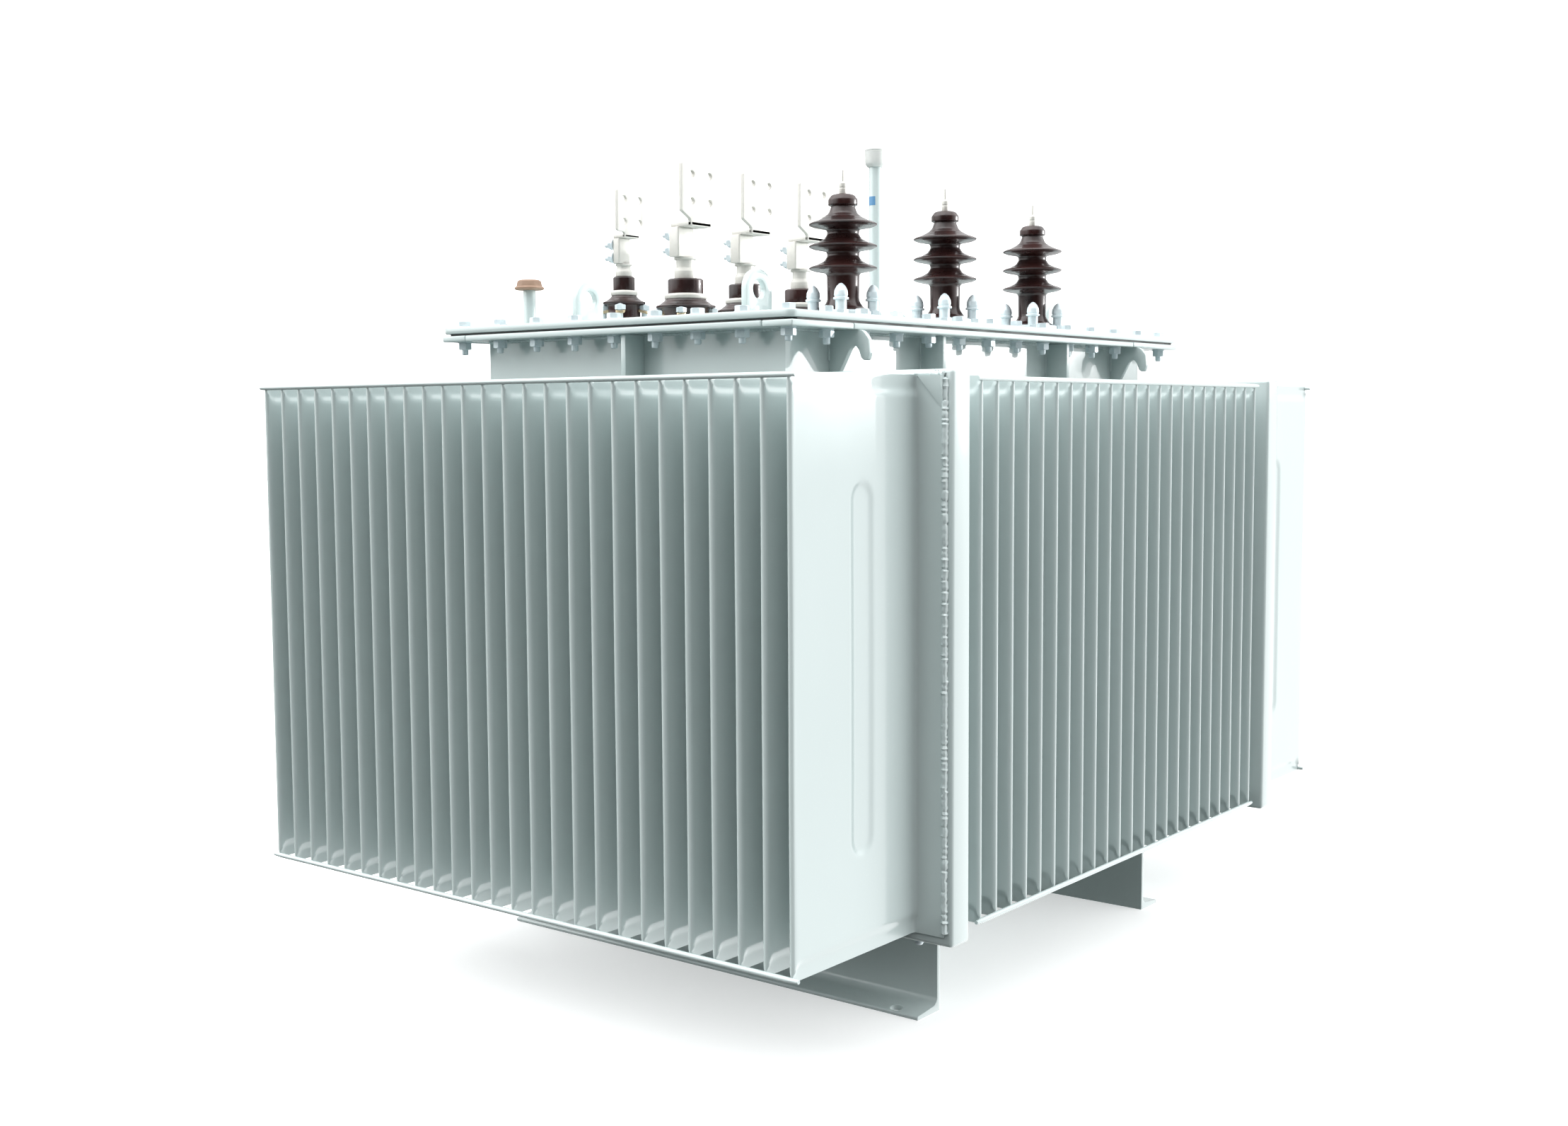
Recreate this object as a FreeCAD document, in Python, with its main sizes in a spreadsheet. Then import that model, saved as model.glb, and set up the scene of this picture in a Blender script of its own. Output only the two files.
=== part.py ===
"""Oil-filled three-phase distribution transformer with a corrugated-fin tank.

Row frame: millimetres, +Z up, +Y along the length of the tank, origin on the floor under the middle
of the tank.  The high-voltage bushings stand on the +X side of the cover, the low-voltage bushings
on the -X side.  "Front" is the -Y end, "right" is the +X side.
"""
import FreeCAD, Part
import os
import Sketcher

Vector = FreeCAD.Vector

doc = FreeCAD.newDocument("power_transformer")

# ---------------------------------------------------------------------------
# Driving dimensions, one cell each
# ---------------------------------------------------------------------------
SIZES = (
    # skids under the tank
    ("skid_height", 188, "height of the channel that carries the tank"),
    ("skid_length", 920, "skid length along X"),
    ("skid_web_offset", 367, "distance of the channel's back from the middle of the tank"),
    ("skid_flange_reach", 57, "flanges past the back of the web"),
    ("skid_plate", 8, "skid plate thickness"),
    ("skid_hole_diameter", 22, "fixing hole in the lower flange"),
    ("skid_hole_inset", 50, "fixing hole from the end of the skid"),
    ("skid_hole_offset", 43, "fixing hole past the back of the web"),
    # tank
    ("tank_width", 654, "tank along X, without the corrugated sheets"),
    ("tank_length", 1170, "tank along Y, without the corrugated sheets"),
    ("tank_height", 904, "from the skid tops to the underside of the flange"),
    ("floor_plate", 10, "tank floor thickness"),
    ("header_reach", 300, "end header past the side of the tank"),
    ("header_depth", 48, "end headers along Y, without the sheet"),
    ("header_drop", 67, "top of the end headers below the flange"),
    ("sheet_inset", 13, "edge of an end sheet inside the edge of its headers"),
    # corrugated walls
    ("wall_sheet", 3, "sheet thickness between fins"),
    ("fin_thickness", 9, "fin over both skins"),
    ("fin_rise", 15, "height of the fins' lower edges over the skid tops"),
    ("fin_drop", 8, "upper edges of the fins below the header tops"),
    ("end_fin_depth", 294, "reach of the fins on both ends"),
    ("end_fin_pitch", 45, "fin spacing on the ends"),
    ("end_fin_margin", 45, "least distance of the first fin from the edge of an end sheet"),
    ("side_fin_depth", 289, "reach of the fins on both sides"),
    ("side_fin_pitch", 44.8, "fin spacing on the sides"),
    ("side_fin_margin", 40, "least distance of the first fin from a header"),
    ("rod_diameter", 8, "round bars welded across the fin tips"),
    ("rod_overhang", 8, "bar past the face of the outermost fin"),
    ("rod_gap", 0.2, "weld gap between a bar and its notch in the fins"),
    # flange, gasket, cover
    ("flange_overhang", 58, "flange and cover past the sides of the tank"),
    ("flange_plate", 10, "flange thickness"),
    ("gasket_thickness", 5, "cover gasket"),
    ("gasket_inset", 4, "gasket edge inside the flange edge"),
    ("cover_plate_thickness", 10, "cover thickness"),
    ("cover_corner", 14, "corner cut of cover and flange"),
    # plates under the flange
    ("gusset_plate", 10, "thickness of hooks and ribs"),
    ("hook_reach", 78, "lifting hook, out from the tank wall"),
    ("hook_inset", 115, "lifting hook from the end of the tank"),
    ("hook_shoulder", 10, "slope of the hook's outer edge near the flange"),
    ("hook_tip_drop", 48, "hook nose below the flange"),
    ("hook_nose_width", 16, "hook nose"),
    ("hook_nose_round", 5, "corner of the hook nose"),
    ("hook_throat_reach", 50, "top of the sling notch, out from the wall"),
    ("hook_throat_drop", 25, "top of the sling notch below the flange"),
    ("hook_throat_side", 7, "flat flank of the notch"),
    ("hook_root_reach", 18, "foot of the hook plate, out from the wall"),
    ("rib_reach", 45, "ribs on the sides, out from the tank wall"),
    ("rib_spacing", 422, "side ribs along Y"),
    ("end_rib_offset", 33, "end rib off the middle of the end wall"),
    ("corner_gusset_plate", 3, "triangular plates at the upper corners of the end sheets"),
    ("corner_gusset_drop", 52, "triangular plates along Z"),
    # lugs on the cover
    ("lug_edge_x", 196, "lifting lugs from the long edges of the cover"),
    ("lug_edge_y", 161, "lifting lugs from the short edges of the cover"),
    ("lug_width", 65, "lug along Y"),
    ("lug_plate", 12, "lug thickness"),
    ("lug_hole_height", 46, "hole centre over the cover"),
    ("lug_hole_diameter", 32, "sling hole"),
    # high-voltage bushings
    ("hv_edge", 148.5, "row of high-voltage bushings from the long edge of the cover"),
    ("hv_pitch", 312, "spacing of the high-voltage bushings"),
    ("hv_foot_diameter", 82, "porcelain foot"),
    ("hv_foot_height", 18, "height of the porcelain foot"),
    ("hv_stem_diameter", 53, "porcelain stem"),
    ("hv_shed_diameter", 114, "sheds"),
    ("hv_shed_edge", 4, "shed thickness at the rim"),
    ("hv_shed_slope", 13, "height of a shed's upper slope"),
    ("hv_shed_undercut", 8, "height of a shed's lower slope"),
    ("hv_first_shed", 88, "first shed rim over the cover"),
    ("hv_shed_pitch", 36, "spacing of the sheds"),
    ("hv_shed_count", 3, "sheds on a bushing"),
    ("hv_neck_diameter", 38, "neck under the head"),
    ("hv_head_diameter", 49, "head of the porcelain"),
    ("hv_head_height", 20, "head height"),
    ("hv_porcelain_height", 209, "porcelain over the cover"),
    ("hv_ring_width", 16, "clamp ring outside the foot"),
    ("hv_ring_lip", 8, "clamp ring over the foot"),
    ("hv_ring_cover", 7, "thickness of the ring's lip"),
    ("hv_nut_size", 15, "terminal nut over its corners"),
    ("hv_nut_height", 20, "terminal nut"),
    ("hv_stud_diameter", 5, "terminal stud"),
    ("hv_stud_height", 20, "terminal stud over its nut"),
    # low-voltage bushings
    ("lv_edge", 156.5, "row of low-voltage bushings from the long edge of the cover"),
    ("lv_pitch", 179, "spacing of the low-voltage bushings"),
    ("lv_foot_diameter", 84, "porcelain foot of a phase bushing"),
    ("lv_flare_diameter", 114, "flare of a phase bushing"),
    ("lv_flare_height", 53, "flare rim over the cover"),
    ("lv_flare_edge", 5, "flare thickness at the rim"),
    ("lv_collar_diameter", 84, "seal collar over the flare"),
    ("lv_collar_bottom", 66, "seal collar underside over the cover"),
    ("lv_cap_diameter", 67, "porcelain cap"),
    ("lv_cap_bottom", 75, "cap underside over the cover"),
    ("lv_cap_top", 103, "cap top over the cover"),
    ("lv_nut_diameter", 50, "seal nut on the cap"),
    ("lv_nut_height", 18, "seal nut on the cap"),
    ("lv_post_diameter", 37, "metal post"),
    ("lv_washer_diameter", 43, "washer under the terminal block"),
    ("lv_washer_height", 4, "washer under the terminal block"),
    ("lv_block_bottom", 143, "terminal block underside over the cover"),
    ("lv_block_height", 55, "terminal block"),
    ("lv_block_width", 24, "terminal block along X"),
    ("lv_block_front", 33, "terminal block in front of the bushing's axis"),
    ("lv_block_back", 17, "terminal block behind the bushing's axis"),
    ("lv_flag_plate", 8, "flag and foot thickness"),
    ("lv_flag_width", 108, "flag along Y"),
    ("lv_flag_height", 88, "flag along Z"),
    ("lv_flag_rise", 26, "flag underside over the terminal block"),
    ("lv_flag_offset", 37, "middle of the flag's plate from the bushing's axis along X"),
    ("lv_flag_neck", 57, "width of the strap between block and flag"),
    ("lv_flag_hole_spacing", 50, "holes in the flag, both ways"),
    ("lv_flag_hole_diameter", 13, "holes in the flag"),
    # neutral bushing
    ("neutral_reach", 348, "neutral bushing in front of the middle low-voltage one"),
    ("neutral_foot_diameter", 58, "porcelain foot of the neutral bushing"),
    ("neutral_flare_diameter", 78, "flare of the neutral bushing"),
    ("neutral_flare_height", 52, "neutral flare rim over the cover"),
    ("neutral_collar_diameter", 50, "neutral seal collar"),
    ("neutral_collar_bottom", 64, "neutral collar underside over the cover"),
    ("neutral_cap_diameter", 39, "neutral porcelain cap"),
    ("neutral_cap_bottom", 72, "neutral cap underside over the cover"),
    ("neutral_cap_top", 97, "neutral cap top over the cover"),
    ("neutral_nut_diameter", 30, "neutral seal nut"),
    ("neutral_nut_height", 11, "neutral seal nut"),
    ("neutral_post_diameter", 24, "neutral metal post"),
    ("neutral_washer_diameter", 29, "washer under the neutral block"),
    ("neutral_washer_height", 3, "washer under the neutral block"),
    ("neutral_block_bottom", 120, "neutral block underside over the cover"),
    ("neutral_block_height", 45, "neutral block"),
    ("neutral_block_width", 16, "neutral block along X"),
    ("neutral_block_front", 20, "neutral block in front of its axis"),
    ("neutral_block_back", 12, "neutral block behind its axis"),
    ("neutral_flag_plate", 6, "neutral flag and foot thickness"),
    ("neutral_flag_width", 76, "neutral flag along Y"),
    ("neutral_flag_height", 74, "neutral flag along Z"),
    ("neutral_flag_rise", 11, "neutral flag underside over its block"),
    ("neutral_flag_offset", 19, "middle of the neutral flag's plate from its axis along X"),
    ("neutral_flag_neck", 38, "width of the strap between block and flag"),
    ("neutral_flag_hole_spacing", 40, "holes in the neutral flag, both ways"),
    ("neutral_flag_hole_diameter", 12, "holes in the neutral flag"),
    # pipes on the cover
    ("relief_edge_x", 148.5, "tall pipe from the long edge of the cover"),
    ("relief_edge_y", 187, "tall pipe from the short edge of the cover"),
    ("relief_pipe_diameter", 26.9, "tall pipe"),
    ("relief_pipe_height", 385, "tall pipe over the cover"),
    ("relief_cap_diameter", 45, "cap of the tall pipe"),
    ("relief_cap_height", 39, "cap of the tall pipe"),
    ("relief_cap_rise", 35, "part of the cap over the pipe's end"),
    ("relief_cap_taper", 4, "narrowing of the cap's lower third"),
    ("filler_edge_x", 98, "filler pipe from the long edge of the cover"),
    ("filler_edge_y", 116, "filler pipe from the short edge of the cover"),
    ("filler_pipe_diameter", 21.3, "filler pipe"),
    ("filler_pipe_height", 66, "filler pipe over the cover"),
    ("filler_cap_diameter", 52, "filler cap"),
    ("filler_cap_height", 18, "filler cap"),
    ("filler_cap_slope", 10, "underside slope of the filler cap"),
    ("filler_cap_edge", 5, "corners of the filler cap"),
    # drain plug under the front header
    ("drain_inset", 73, "drain plug from the edge of its header"),
    ("drain_diameter", 14, "drain plug"),
    ("drain_length", 12, "drain plug below the header"),
)

sheet = doc.addObject("Spreadsheet::Sheet", "Sizes")
for row, (alias, value, note) in enumerate(SIZES, start=1):
    sheet.set(f"A{row}", note)
    sheet.set(f"B{row}", str(value))
    sheet.setAlias(f"B{row}", alias)
doc.recompute()

ALIASES = {alias for alias, value, note in SIZES}


def bound(expression):
    """Write an expression of plain aliases as one that reads the sheet."""
    text = ""
    word = ""
    for letter in expression + " ":
        if letter.isalnum() or letter == "_":
            word += letter
            continue
        text += "Sizes." + word if word in ALIASES else word
        text += letter
        word = ""
    return text.strip()


def number(expression):
    """Value of an expression of aliases, as the sheet gives it."""
    value = sheet.evalExpression(bound(str(expression)))
    return float(getattr(value, "Value", value))


def bind(thing, **expressions):
    """Tie properties of an object to the sheet; a__b stands for the path a.b."""
    for path, expression in expressions.items():
        thing.setExpression(path.replace("__", "."), bound(str(expression)))


def put(thing, x="0", y="0", z="0", turn=0):
    """Place an object at a bound position, turned about Z by a fixed angle."""
    turned = FreeCAD.Rotation(Vector(0, 0, 1), turn)
    thing.Placement = FreeCAD.Placement(Vector(number(x), number(y), number(z)), turned)
    bind(thing, Placement__Base__x=x, Placement__Base__y=y, Placement__Base__z=z)


NODES = []


def node(thing, label):
    """Name an object as a sub-part that is written to its own file."""
    thing.Label = label
    NODES.append(thing)
    return thing


# ---------------------------------------------------------------------------
# Ways of making a solid
# ---------------------------------------------------------------------------
def box(name, length, width, height, x="0", y="0", z="0"):
    """Box centred on x and y that stands on z."""
    made = doc.addObject("Part::Box", name)
    bind(made, Length=length, Width=width, Height=height)
    put(made, f"{x} - ({length}) / 2", f"{y} - ({width}) / 2", z)
    return made


def rod(name, radius, height, x="0", y="0", z="0"):
    """Upright cylinder that stands on z."""
    made = doc.addObject("Part::Cylinder", name)
    bind(made, Radius=radius, Height=height)
    put(made, x, y, z)
    return made


def bar(name, radius, length, x="0", y="0", z="0"):
    """Level cylinder along X, centred on x, y and z."""
    made = doc.addObject("Part::Cylinder", name)
    bind(made, Radius=radius, Height=length)
    start = f"{x} - ({length}) / 2"
    along = FreeCAD.Rotation(Vector(0, 1, 0), 90)
    made.Placement = FreeCAD.Placement(Vector(number(start), number(y), number(z)), along)
    bind(made, Placement__Base__x=start, Placement__Base__y=y, Placement__Base__z=z)
    return made


def fuse(name, *things):
    """Touching solids joined to one."""
    made = doc.addObject("Part::MultiFuse", name)
    made.Shapes = list(things)
    return made


def cut(name, base, *tools):
    """A solid less its tools."""
    made = doc.addObject("Part::Cut", name)
    made.Base = base
    made.Tool = tools[0] if len(tools) == 1 else fuse(name + "_tools", *tools)
    return made


def group(name, *things):
    """Several solids that don't touch, kept as one sub-part."""
    made = doc.addObject("Part::Compound", name)
    made.Links = list(things)
    return made


def new_sketch(body, role, name, offset=None):
    """Sketch on one of the body's own origin planes, lifted along the plane's normal if asked."""
    plane = [entry for entry in body.Origin.OriginFeatures if entry.Role == role][0]
    sketch = body.newObject("Sketcher::SketchObject", name)
    sketch.AttachmentSupport = [(plane, "")]
    sketch.MapMode = "FlatFace"
    if offset is not None:
        bind(sketch, AttachmentOffset__Base__z=offset)
    return sketch


def outline(sketch, corners):
    """Closed loop of straight edges; each corner is two expressions, fixed from the sketch's origin."""
    points = [Vector(number(across), number(up), 0) for across, up in corners]
    first = sketch.GeometryCount
    total = len(points)
    for place in range(total):
        sketch.addGeometry(Part.LineSegment(points[place], points[(place + 1) % total]), False)
    for place in range(total):
        following = first + (place + 1) % total
        sketch.addConstraint(Sketcher.Constraint("Coincident", first + place, 2, following, 1))
    for place, (across, up) in enumerate(corners):
        for kind, expression, value in (
            ("DistanceX", across, points[place].x),
            ("DistanceY", up, points[place].y),
        ):
            index = sketch.addConstraint(Sketcher.Constraint(kind, -1, 1, first + place, 1, value))
            sketch.setExpression(f"Constraints[{index}]", bound(str(expression)))


def pad(body, sketch, name, length):
    """Sketch raised along its normal."""
    made = body.newObject("PartDesign::Pad", name)
    made.Profile = sketch
    bind(made, Length=length)
    return made


def turned(name, corners):
    """Body of revolution about its own Z axis; corners are (radius, height)."""
    body = doc.addObject("PartDesign::Body", name)
    sketch = new_sketch(body, "XZ_Plane", name + "_profile")
    outline(sketch, corners)
    spin = body.newObject("PartDesign::Revolution", name + "_turn")
    spin.Profile = sketch
    spin.ReferenceAxis = (sketch, ["V_Axis"])
    spin.Angle = 360
    return body


def plate(name, role, thickness, corners):
    """Flat plate from a sketch on an origin plane."""
    body = doc.addObject("PartDesign::Body", name)
    sketch = new_sketch(body, role, name + "_outline")
    outline(sketch, corners)
    pad(body, sketch, name + "_pad", thickness)
    return body


def rectangle(width, length, corner=None):
    """Corners of a centred rectangle, cut at 45 degrees where a corner size is given."""
    half_x = f"({width}) / 2"
    half_y = f"({length}) / 2"
    if corner is None:
        near = [(f"-{half_x}", f"-{half_y}"), (half_x, f"-{half_y}")]
        return near + [(half_x, half_y), (f"-{half_x}", half_y)]
    near_x = f"(({width}) / 2 - {corner})"
    near_y = f"(({length}) / 2 - {corner})"
    return [
        (f"-{near_x}", f"-{half_y}"),
        (near_x, f"-{half_y}"),
        (half_x, f"-{near_y}"),
        (half_x, near_y),
        (near_x, half_y),
        (f"-{near_x}", half_y),
        (f"-{half_x}", near_y),
        (f"-{half_x}", f"-{near_y}"),
    ]


# Heights and outlines that several pieces share
HEADER_HEIGHT = "(tank_height - header_drop)"
FIN_HEIGHT = f"({HEADER_HEIGHT} - fin_rise - fin_drop)"
FLANGE_BOTTOM = "skid_height + tank_height"
FLANGE_TOP = f"{FLANGE_BOTTOM} + flange_plate"
COVER_BOTTOM = f"{FLANGE_TOP} + gasket_thickness"
COVER_TOP = f"{COVER_BOTTOM} + cover_plate_thickness"
COVER_WIDTH = "tank_width + 2 * flange_overhang"
COVER_LENGTH = "tank_length + 2 * flange_overhang"
EDGE_X = f"({COVER_WIDTH}) / 2"
EDGE_Y = f"({COVER_LENGTH}) / 2"

# ---------------------------------------------------------------------------
# Tank, floor and end headers
# ---------------------------------------------------------------------------
floor_top = "skid_height + floor_plate"
tank = box("TankBody", "tank_width", "tank_length", f"{FLANGE_TOP} - ({floor_top})", z=floor_top)
node(tank, "tank_body")

floor = box("TankFloor", "tank_width", "tank_length", "floor_plate", z="skid_height")
node(floor, "tank_floor")

for end, side in (("front", "-"), ("rear", "")):
    wings = [
        box(
            f"HeaderWing_{end}_{hand}",
            "header_reach",
            "header_depth",
            HEADER_HEIGHT,
            x=f"{sign}(tank_width + header_reach) / 2",
            y=f"{side}(tank_length - header_depth) / 2",
            z="skid_height",
        )
        for hand, sign in (("left", "-"), ("right", ""))
    ]
    node(group(f"Header_{end}", *wings), f"header_{end}")


# ---------------------------------------------------------------------------
# Corrugated walls: one folded sheet a side, its fins in a row, notched for the tie bars.
# Each is drawn in its own frame: along X, fins towards +Y, lower edge at Z = 0.
# ---------------------------------------------------------------------------
def fin_count(width, margin, pitch):
    """As many fins as the sheet has room for."""
    return f"floor(({width} - 2 * {margin}) / {pitch}) + 1"


def tie_bars(name, radius, row_length, depth):
    """Two round bars across the fin tips, at the lower and the upper ends of the fins."""
    length = f"{row_length} + fin_thickness + 2 * rod_overhang"
    tip = f"wall_sheet + {depth}"
    low = bar(name + "_low", radius, length, y=tip, z="rod_diameter / 2")
    high = bar(name + "_high", radius, length, y=tip, z=f"{FIN_HEIGHT} - rod_diameter / 2")
    return low, high


def corrugated_wall(name, width, row_length, depth, count):
    body = doc.addObject("PartDesign::Body", name + "_folded")
    back = new_sketch(body, "XY_Plane", name + "_back")
    half = f"({width}) / 2"
    outline(back, [(f"-{half}", "0"), (half, "0"), (half, "wall_sheet"), (f"-{half}", "wall_sheet")])
    pad(body, back, name + "_sheet", FIN_HEIGHT)
    left = f"-({row_length}) / 2 - fin_thickness / 2"
    right = f"-({row_length}) / 2 + fin_thickness / 2"
    tip = f"wall_sheet + {depth}"
    profile = new_sketch(body, "XY_Plane", name + "_fin_profile")
    outline(profile, [(left, "0"), (right, "0"), (right, tip), (left, tip)])
    fin = pad(body, profile, name + "_fin", FIN_HEIGHT)
    doc.recompute()
    row = body.newObject("PartDesign::LinearPattern", name + "_row")
    row.Originals = [fin]
    row.Direction = (profile, ["H_Axis"])
    bind(row, Length=row_length, Occurrences=count)
    body.Tip = row
    return cut(name, body, *tie_bars(name + "_notch", "rod_diameter / 2 + rod_gap", row_length, depth))


END_SHEET = "(tank_width + 2 * header_reach - 2 * sheet_inset)"
SIDE_SHEET = "(tank_length - 2 * header_depth)"
END = (END_SHEET, "end_fin_margin", "end_fin_pitch", "end_fin_depth")
SIDE = (SIDE_SHEET, "side_fin_margin", "side_fin_pitch", "side_fin_depth")
WALLS = (
    ("front", END, "0", "-tank_length / 2", 180),
    ("rear", END, "0", "tank_length / 2", 0),
    ("right", SIDE, "tank_width / 2", "0", -90),
    ("left", SIDE, "-tank_width / 2", "0", 90),
)
bars = {}
for wall, (width, margin, pitch, depth), x, y, turn in WALLS:
    count = fin_count(width, margin, pitch)
    row_length = f"({count} - 1) * {pitch}"
    folded = corrugated_wall(f"FinWall_{wall}", width, row_length, depth, count)
    put(folded, x, y, "skid_height + fin_rise", turn)
    node(folded, f"fin_wall_{wall}")
    pair = group(f"TieBars_{wall}", *tie_bars(f"TieBar_{wall}", "rod_diameter / 2", row_length, depth))
    put(pair, x, y, "skid_height + fin_rise", turn)
    bars[wall] = pair
node(group("EndTieBars", bars["front"], bars["rear"]), "end_tie_bars")
node(group("SideTieBars", bars["right"], bars["left"]), "side_tie_bars")

# Triangular plates on the end sheets, between the last fin and the upper corner of the sheet
end_row = f"({fin_count(END_SHEET, 'end_fin_margin', 'end_fin_pitch')} - 1) * end_fin_pitch"
last_fin = f"({end_row}) / 2 + fin_thickness / 2"
sheet_edge = f"{END_SHEET} / 2"
gussets = []
for end, turn in (("front", 0), ("rear", 180)):
    for hand, sign in (("left", "-"), ("right", "")):
        gusset = plate(
            f"CornerGusset_{end}_{hand}",
            "XZ_Plane",
            "corner_gusset_plate",
            [
                (f"{sign}({last_fin})", "0"),
                (f"{sign}({sheet_edge})", "0"),
                (f"{sign}({sheet_edge})", "-corner_gusset_drop"),
            ],
        )
        face = "tank_length / 2 + wall_sheet"
        along = f"-({face})" if end == "front" else face
        put(gusset, "0", along, f"skid_height + fin_rise + {FIN_HEIGHT}", turn)
        gussets.append(gusset)
node(group("CornerGussets", *gussets), "corner_gussets")

# ---------------------------------------------------------------------------
# Flange, gasket and cover
# ---------------------------------------------------------------------------
def frame_plate(name, width, length, thickness):
    """Flat frame round the tank, with cut corners."""
    body = doc.addObject("PartDesign::Body", name)
    sketch = new_sketch(body, "XY_Plane", name + "_outline")
    outline(sketch, rectangle(width, length, "cover_corner"))
    outline(sketch, rectangle("tank_width", "tank_length"))
    pad(body, sketch, name + "_pad", thickness)
    return body


flange = frame_plate("TankFlange", COVER_WIDTH, COVER_LENGTH, "flange_plate")
put(flange, z=FLANGE_BOTTOM)
node(flange, "tank_flange")

gasket = frame_plate(
    "CoverGasket",
    f"{COVER_WIDTH} - 2 * gasket_inset",
    f"{COVER_LENGTH} - 2 * gasket_inset",
    "gasket_thickness",
)
put(gasket, z=FLANGE_TOP)
node(gasket, "cover_gasket")

cover = plate(
    "CoverPlate",
    "XY_Plane",
    "cover_plate_thickness",
    rectangle(COVER_WIDTH, COVER_LENGTH, "cover_corner"),
)
put(cover, z=COVER_BOTTOM)
node(cover, "cover_plate")

# ---------------------------------------------------------------------------
# Lifting hooks and ribs welded under the flange
# ---------------------------------------------------------------------------
def hook(name):
    """Hook plate in the XZ plane: out from the wall, down from the flange."""
    corners = [
        ("0", "0"),
        ("hook_reach - hook_shoulder", "0"),
        ("hook_reach", "-hook_throat_drop"),
        ("hook_reach", "-hook_tip_drop + hook_nose_round"),
        ("hook_reach - hook_nose_round", "-hook_tip_drop"),
        ("hook_reach - hook_nose_width + hook_nose_round", "-hook_tip_drop"),
        ("hook_reach - hook_nose_width", "-hook_tip_drop + hook_nose_round"),
        ("hook_throat_reach + hook_throat_side", "-hook_throat_drop - hook_throat_side"),
        ("hook_throat_reach", "-hook_throat_drop"),
        ("hook_throat_reach - hook_throat_side", "-hook_throat_drop - hook_throat_side / 2"),
        ("hook_root_reach", "-header_drop"),
        ("0", "-header_drop"),
    ]
    return plate(name, "XZ_Plane", "gusset_plate", corners)


for hand, face, turn in (("right", "tank_width / 2", 0), ("left", "-tank_width / 2", 180)):
    back = "+ gusset_plate / 2" if turn == 0 else "- gusset_plate / 2"
    pair = []
    for end, sign in (("front", "-"), ("rear", "")):
        piece = hook(f"Hook_{hand}_{end}")
        put(piece, face, f"{sign}(tank_length / 2 - hook_inset) {back}", FLANGE_BOTTOM, turn)
        pair.append(piece)
    node(group(f"Hooks_{hand}", *pair), f"lifting_hooks_{hand}")

rib_z = f"skid_height + {HEADER_HEIGHT}"
ribs = []
for end, along in (("front", "-"), ("rear", "")):
    for hand, sign in (("right", ""), ("left", "-")):
        x = f"{sign}(tank_width + rib_reach) / 2"
        y = f"{along}rib_spacing / 2"
        ribs.append(box(f"Rib_{hand}_{end}", "rib_reach", "gusset_plate", "header_drop", x, y, rib_z))
    y = f"{along}(tank_length + rib_reach) / 2"
    ribs.append(box(f"Rib_{end}", "gusset_plate", "rib_reach", "header_drop", "end_rib_offset", y, rib_z))
node(group("Ribs", *ribs), "flange_ribs")

# ---------------------------------------------------------------------------
# Lifting lugs on the cover
# ---------------------------------------------------------------------------
for end, sign_y in (("front", "-"), ("rear", "")):
    for hand, sign_x in (("left", "-"), ("right", "")):
        name = f"Lug_{end}_{hand}"
        x = f"{sign_x}({EDGE_X} - lug_edge_x)"
        y = f"{sign_y}({EDGE_Y} - lug_edge_y)"
        eye_z = f"{COVER_TOP} + lug_hole_height"
        stand = box(name + "_stand", "lug_plate", "lug_width", "lug_hole_height", x, y, COVER_TOP)
        crown = bar(name + "_crown", "lug_width / 2", "lug_plate", x, y, eye_z)
        eye = bar(name + "_eye", "lug_hole_diameter / 2", "2 * lug_plate", x, y, eye_z)
        node(cut(name, fuse(name + "_plate", stand, crown), eye), f"cover_lug_{end}_{hand}")


# ---------------------------------------------------------------------------
# High-voltage bushings
# ---------------------------------------------------------------------------
def hv_porcelain():
    """Corners of the porcelain's half section, from the cover up."""
    stem = "hv_stem_diameter / 2"
    rim = "hv_shed_diameter / 2"
    neck = "hv_neck_diameter / 2"
    head = "hv_head_diameter / 2"
    head_bottom = "hv_porcelain_height - hv_head_height"
    corners = [
        ("0", "0"),
        ("hv_foot_diameter / 2", "0"),
        ("hv_foot_diameter / 2", "hv_foot_height"),
        (stem, "hv_foot_height"),
    ]
    sheds = round(number("hv_shed_count"))
    for shed in range(sheds):
        level = f"hv_first_shed + {shed} * hv_shed_pitch"
        upper = neck if shed == sheds - 1 else stem
        corners += [
            (stem, f"{level} - hv_shed_undercut"),
            (rim, level),
            (rim, f"{level} + hv_shed_edge"),
            (upper, f"{level} + hv_shed_edge + hv_shed_slope"),
        ]
    corners += [(neck, head_bottom), (head, head_bottom), (head, "hv_porcelain_height")]
    corners += [("0", "hv_porcelain_height")]
    return corners


HV_RING = [
    ("hv_foot_diameter / 2", "0"),
    ("hv_foot_diameter / 2 + hv_ring_width", "0"),
    ("hv_foot_diameter / 2 + hv_ring_width", "hv_foot_height + hv_ring_cover"),
    ("hv_foot_diameter / 2 - hv_ring_lip", "hv_foot_height + hv_ring_cover"),
    ("hv_foot_diameter / 2 - hv_ring_lip", "hv_foot_height"),
    ("hv_foot_diameter / 2", "hv_foot_height"),
]

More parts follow.
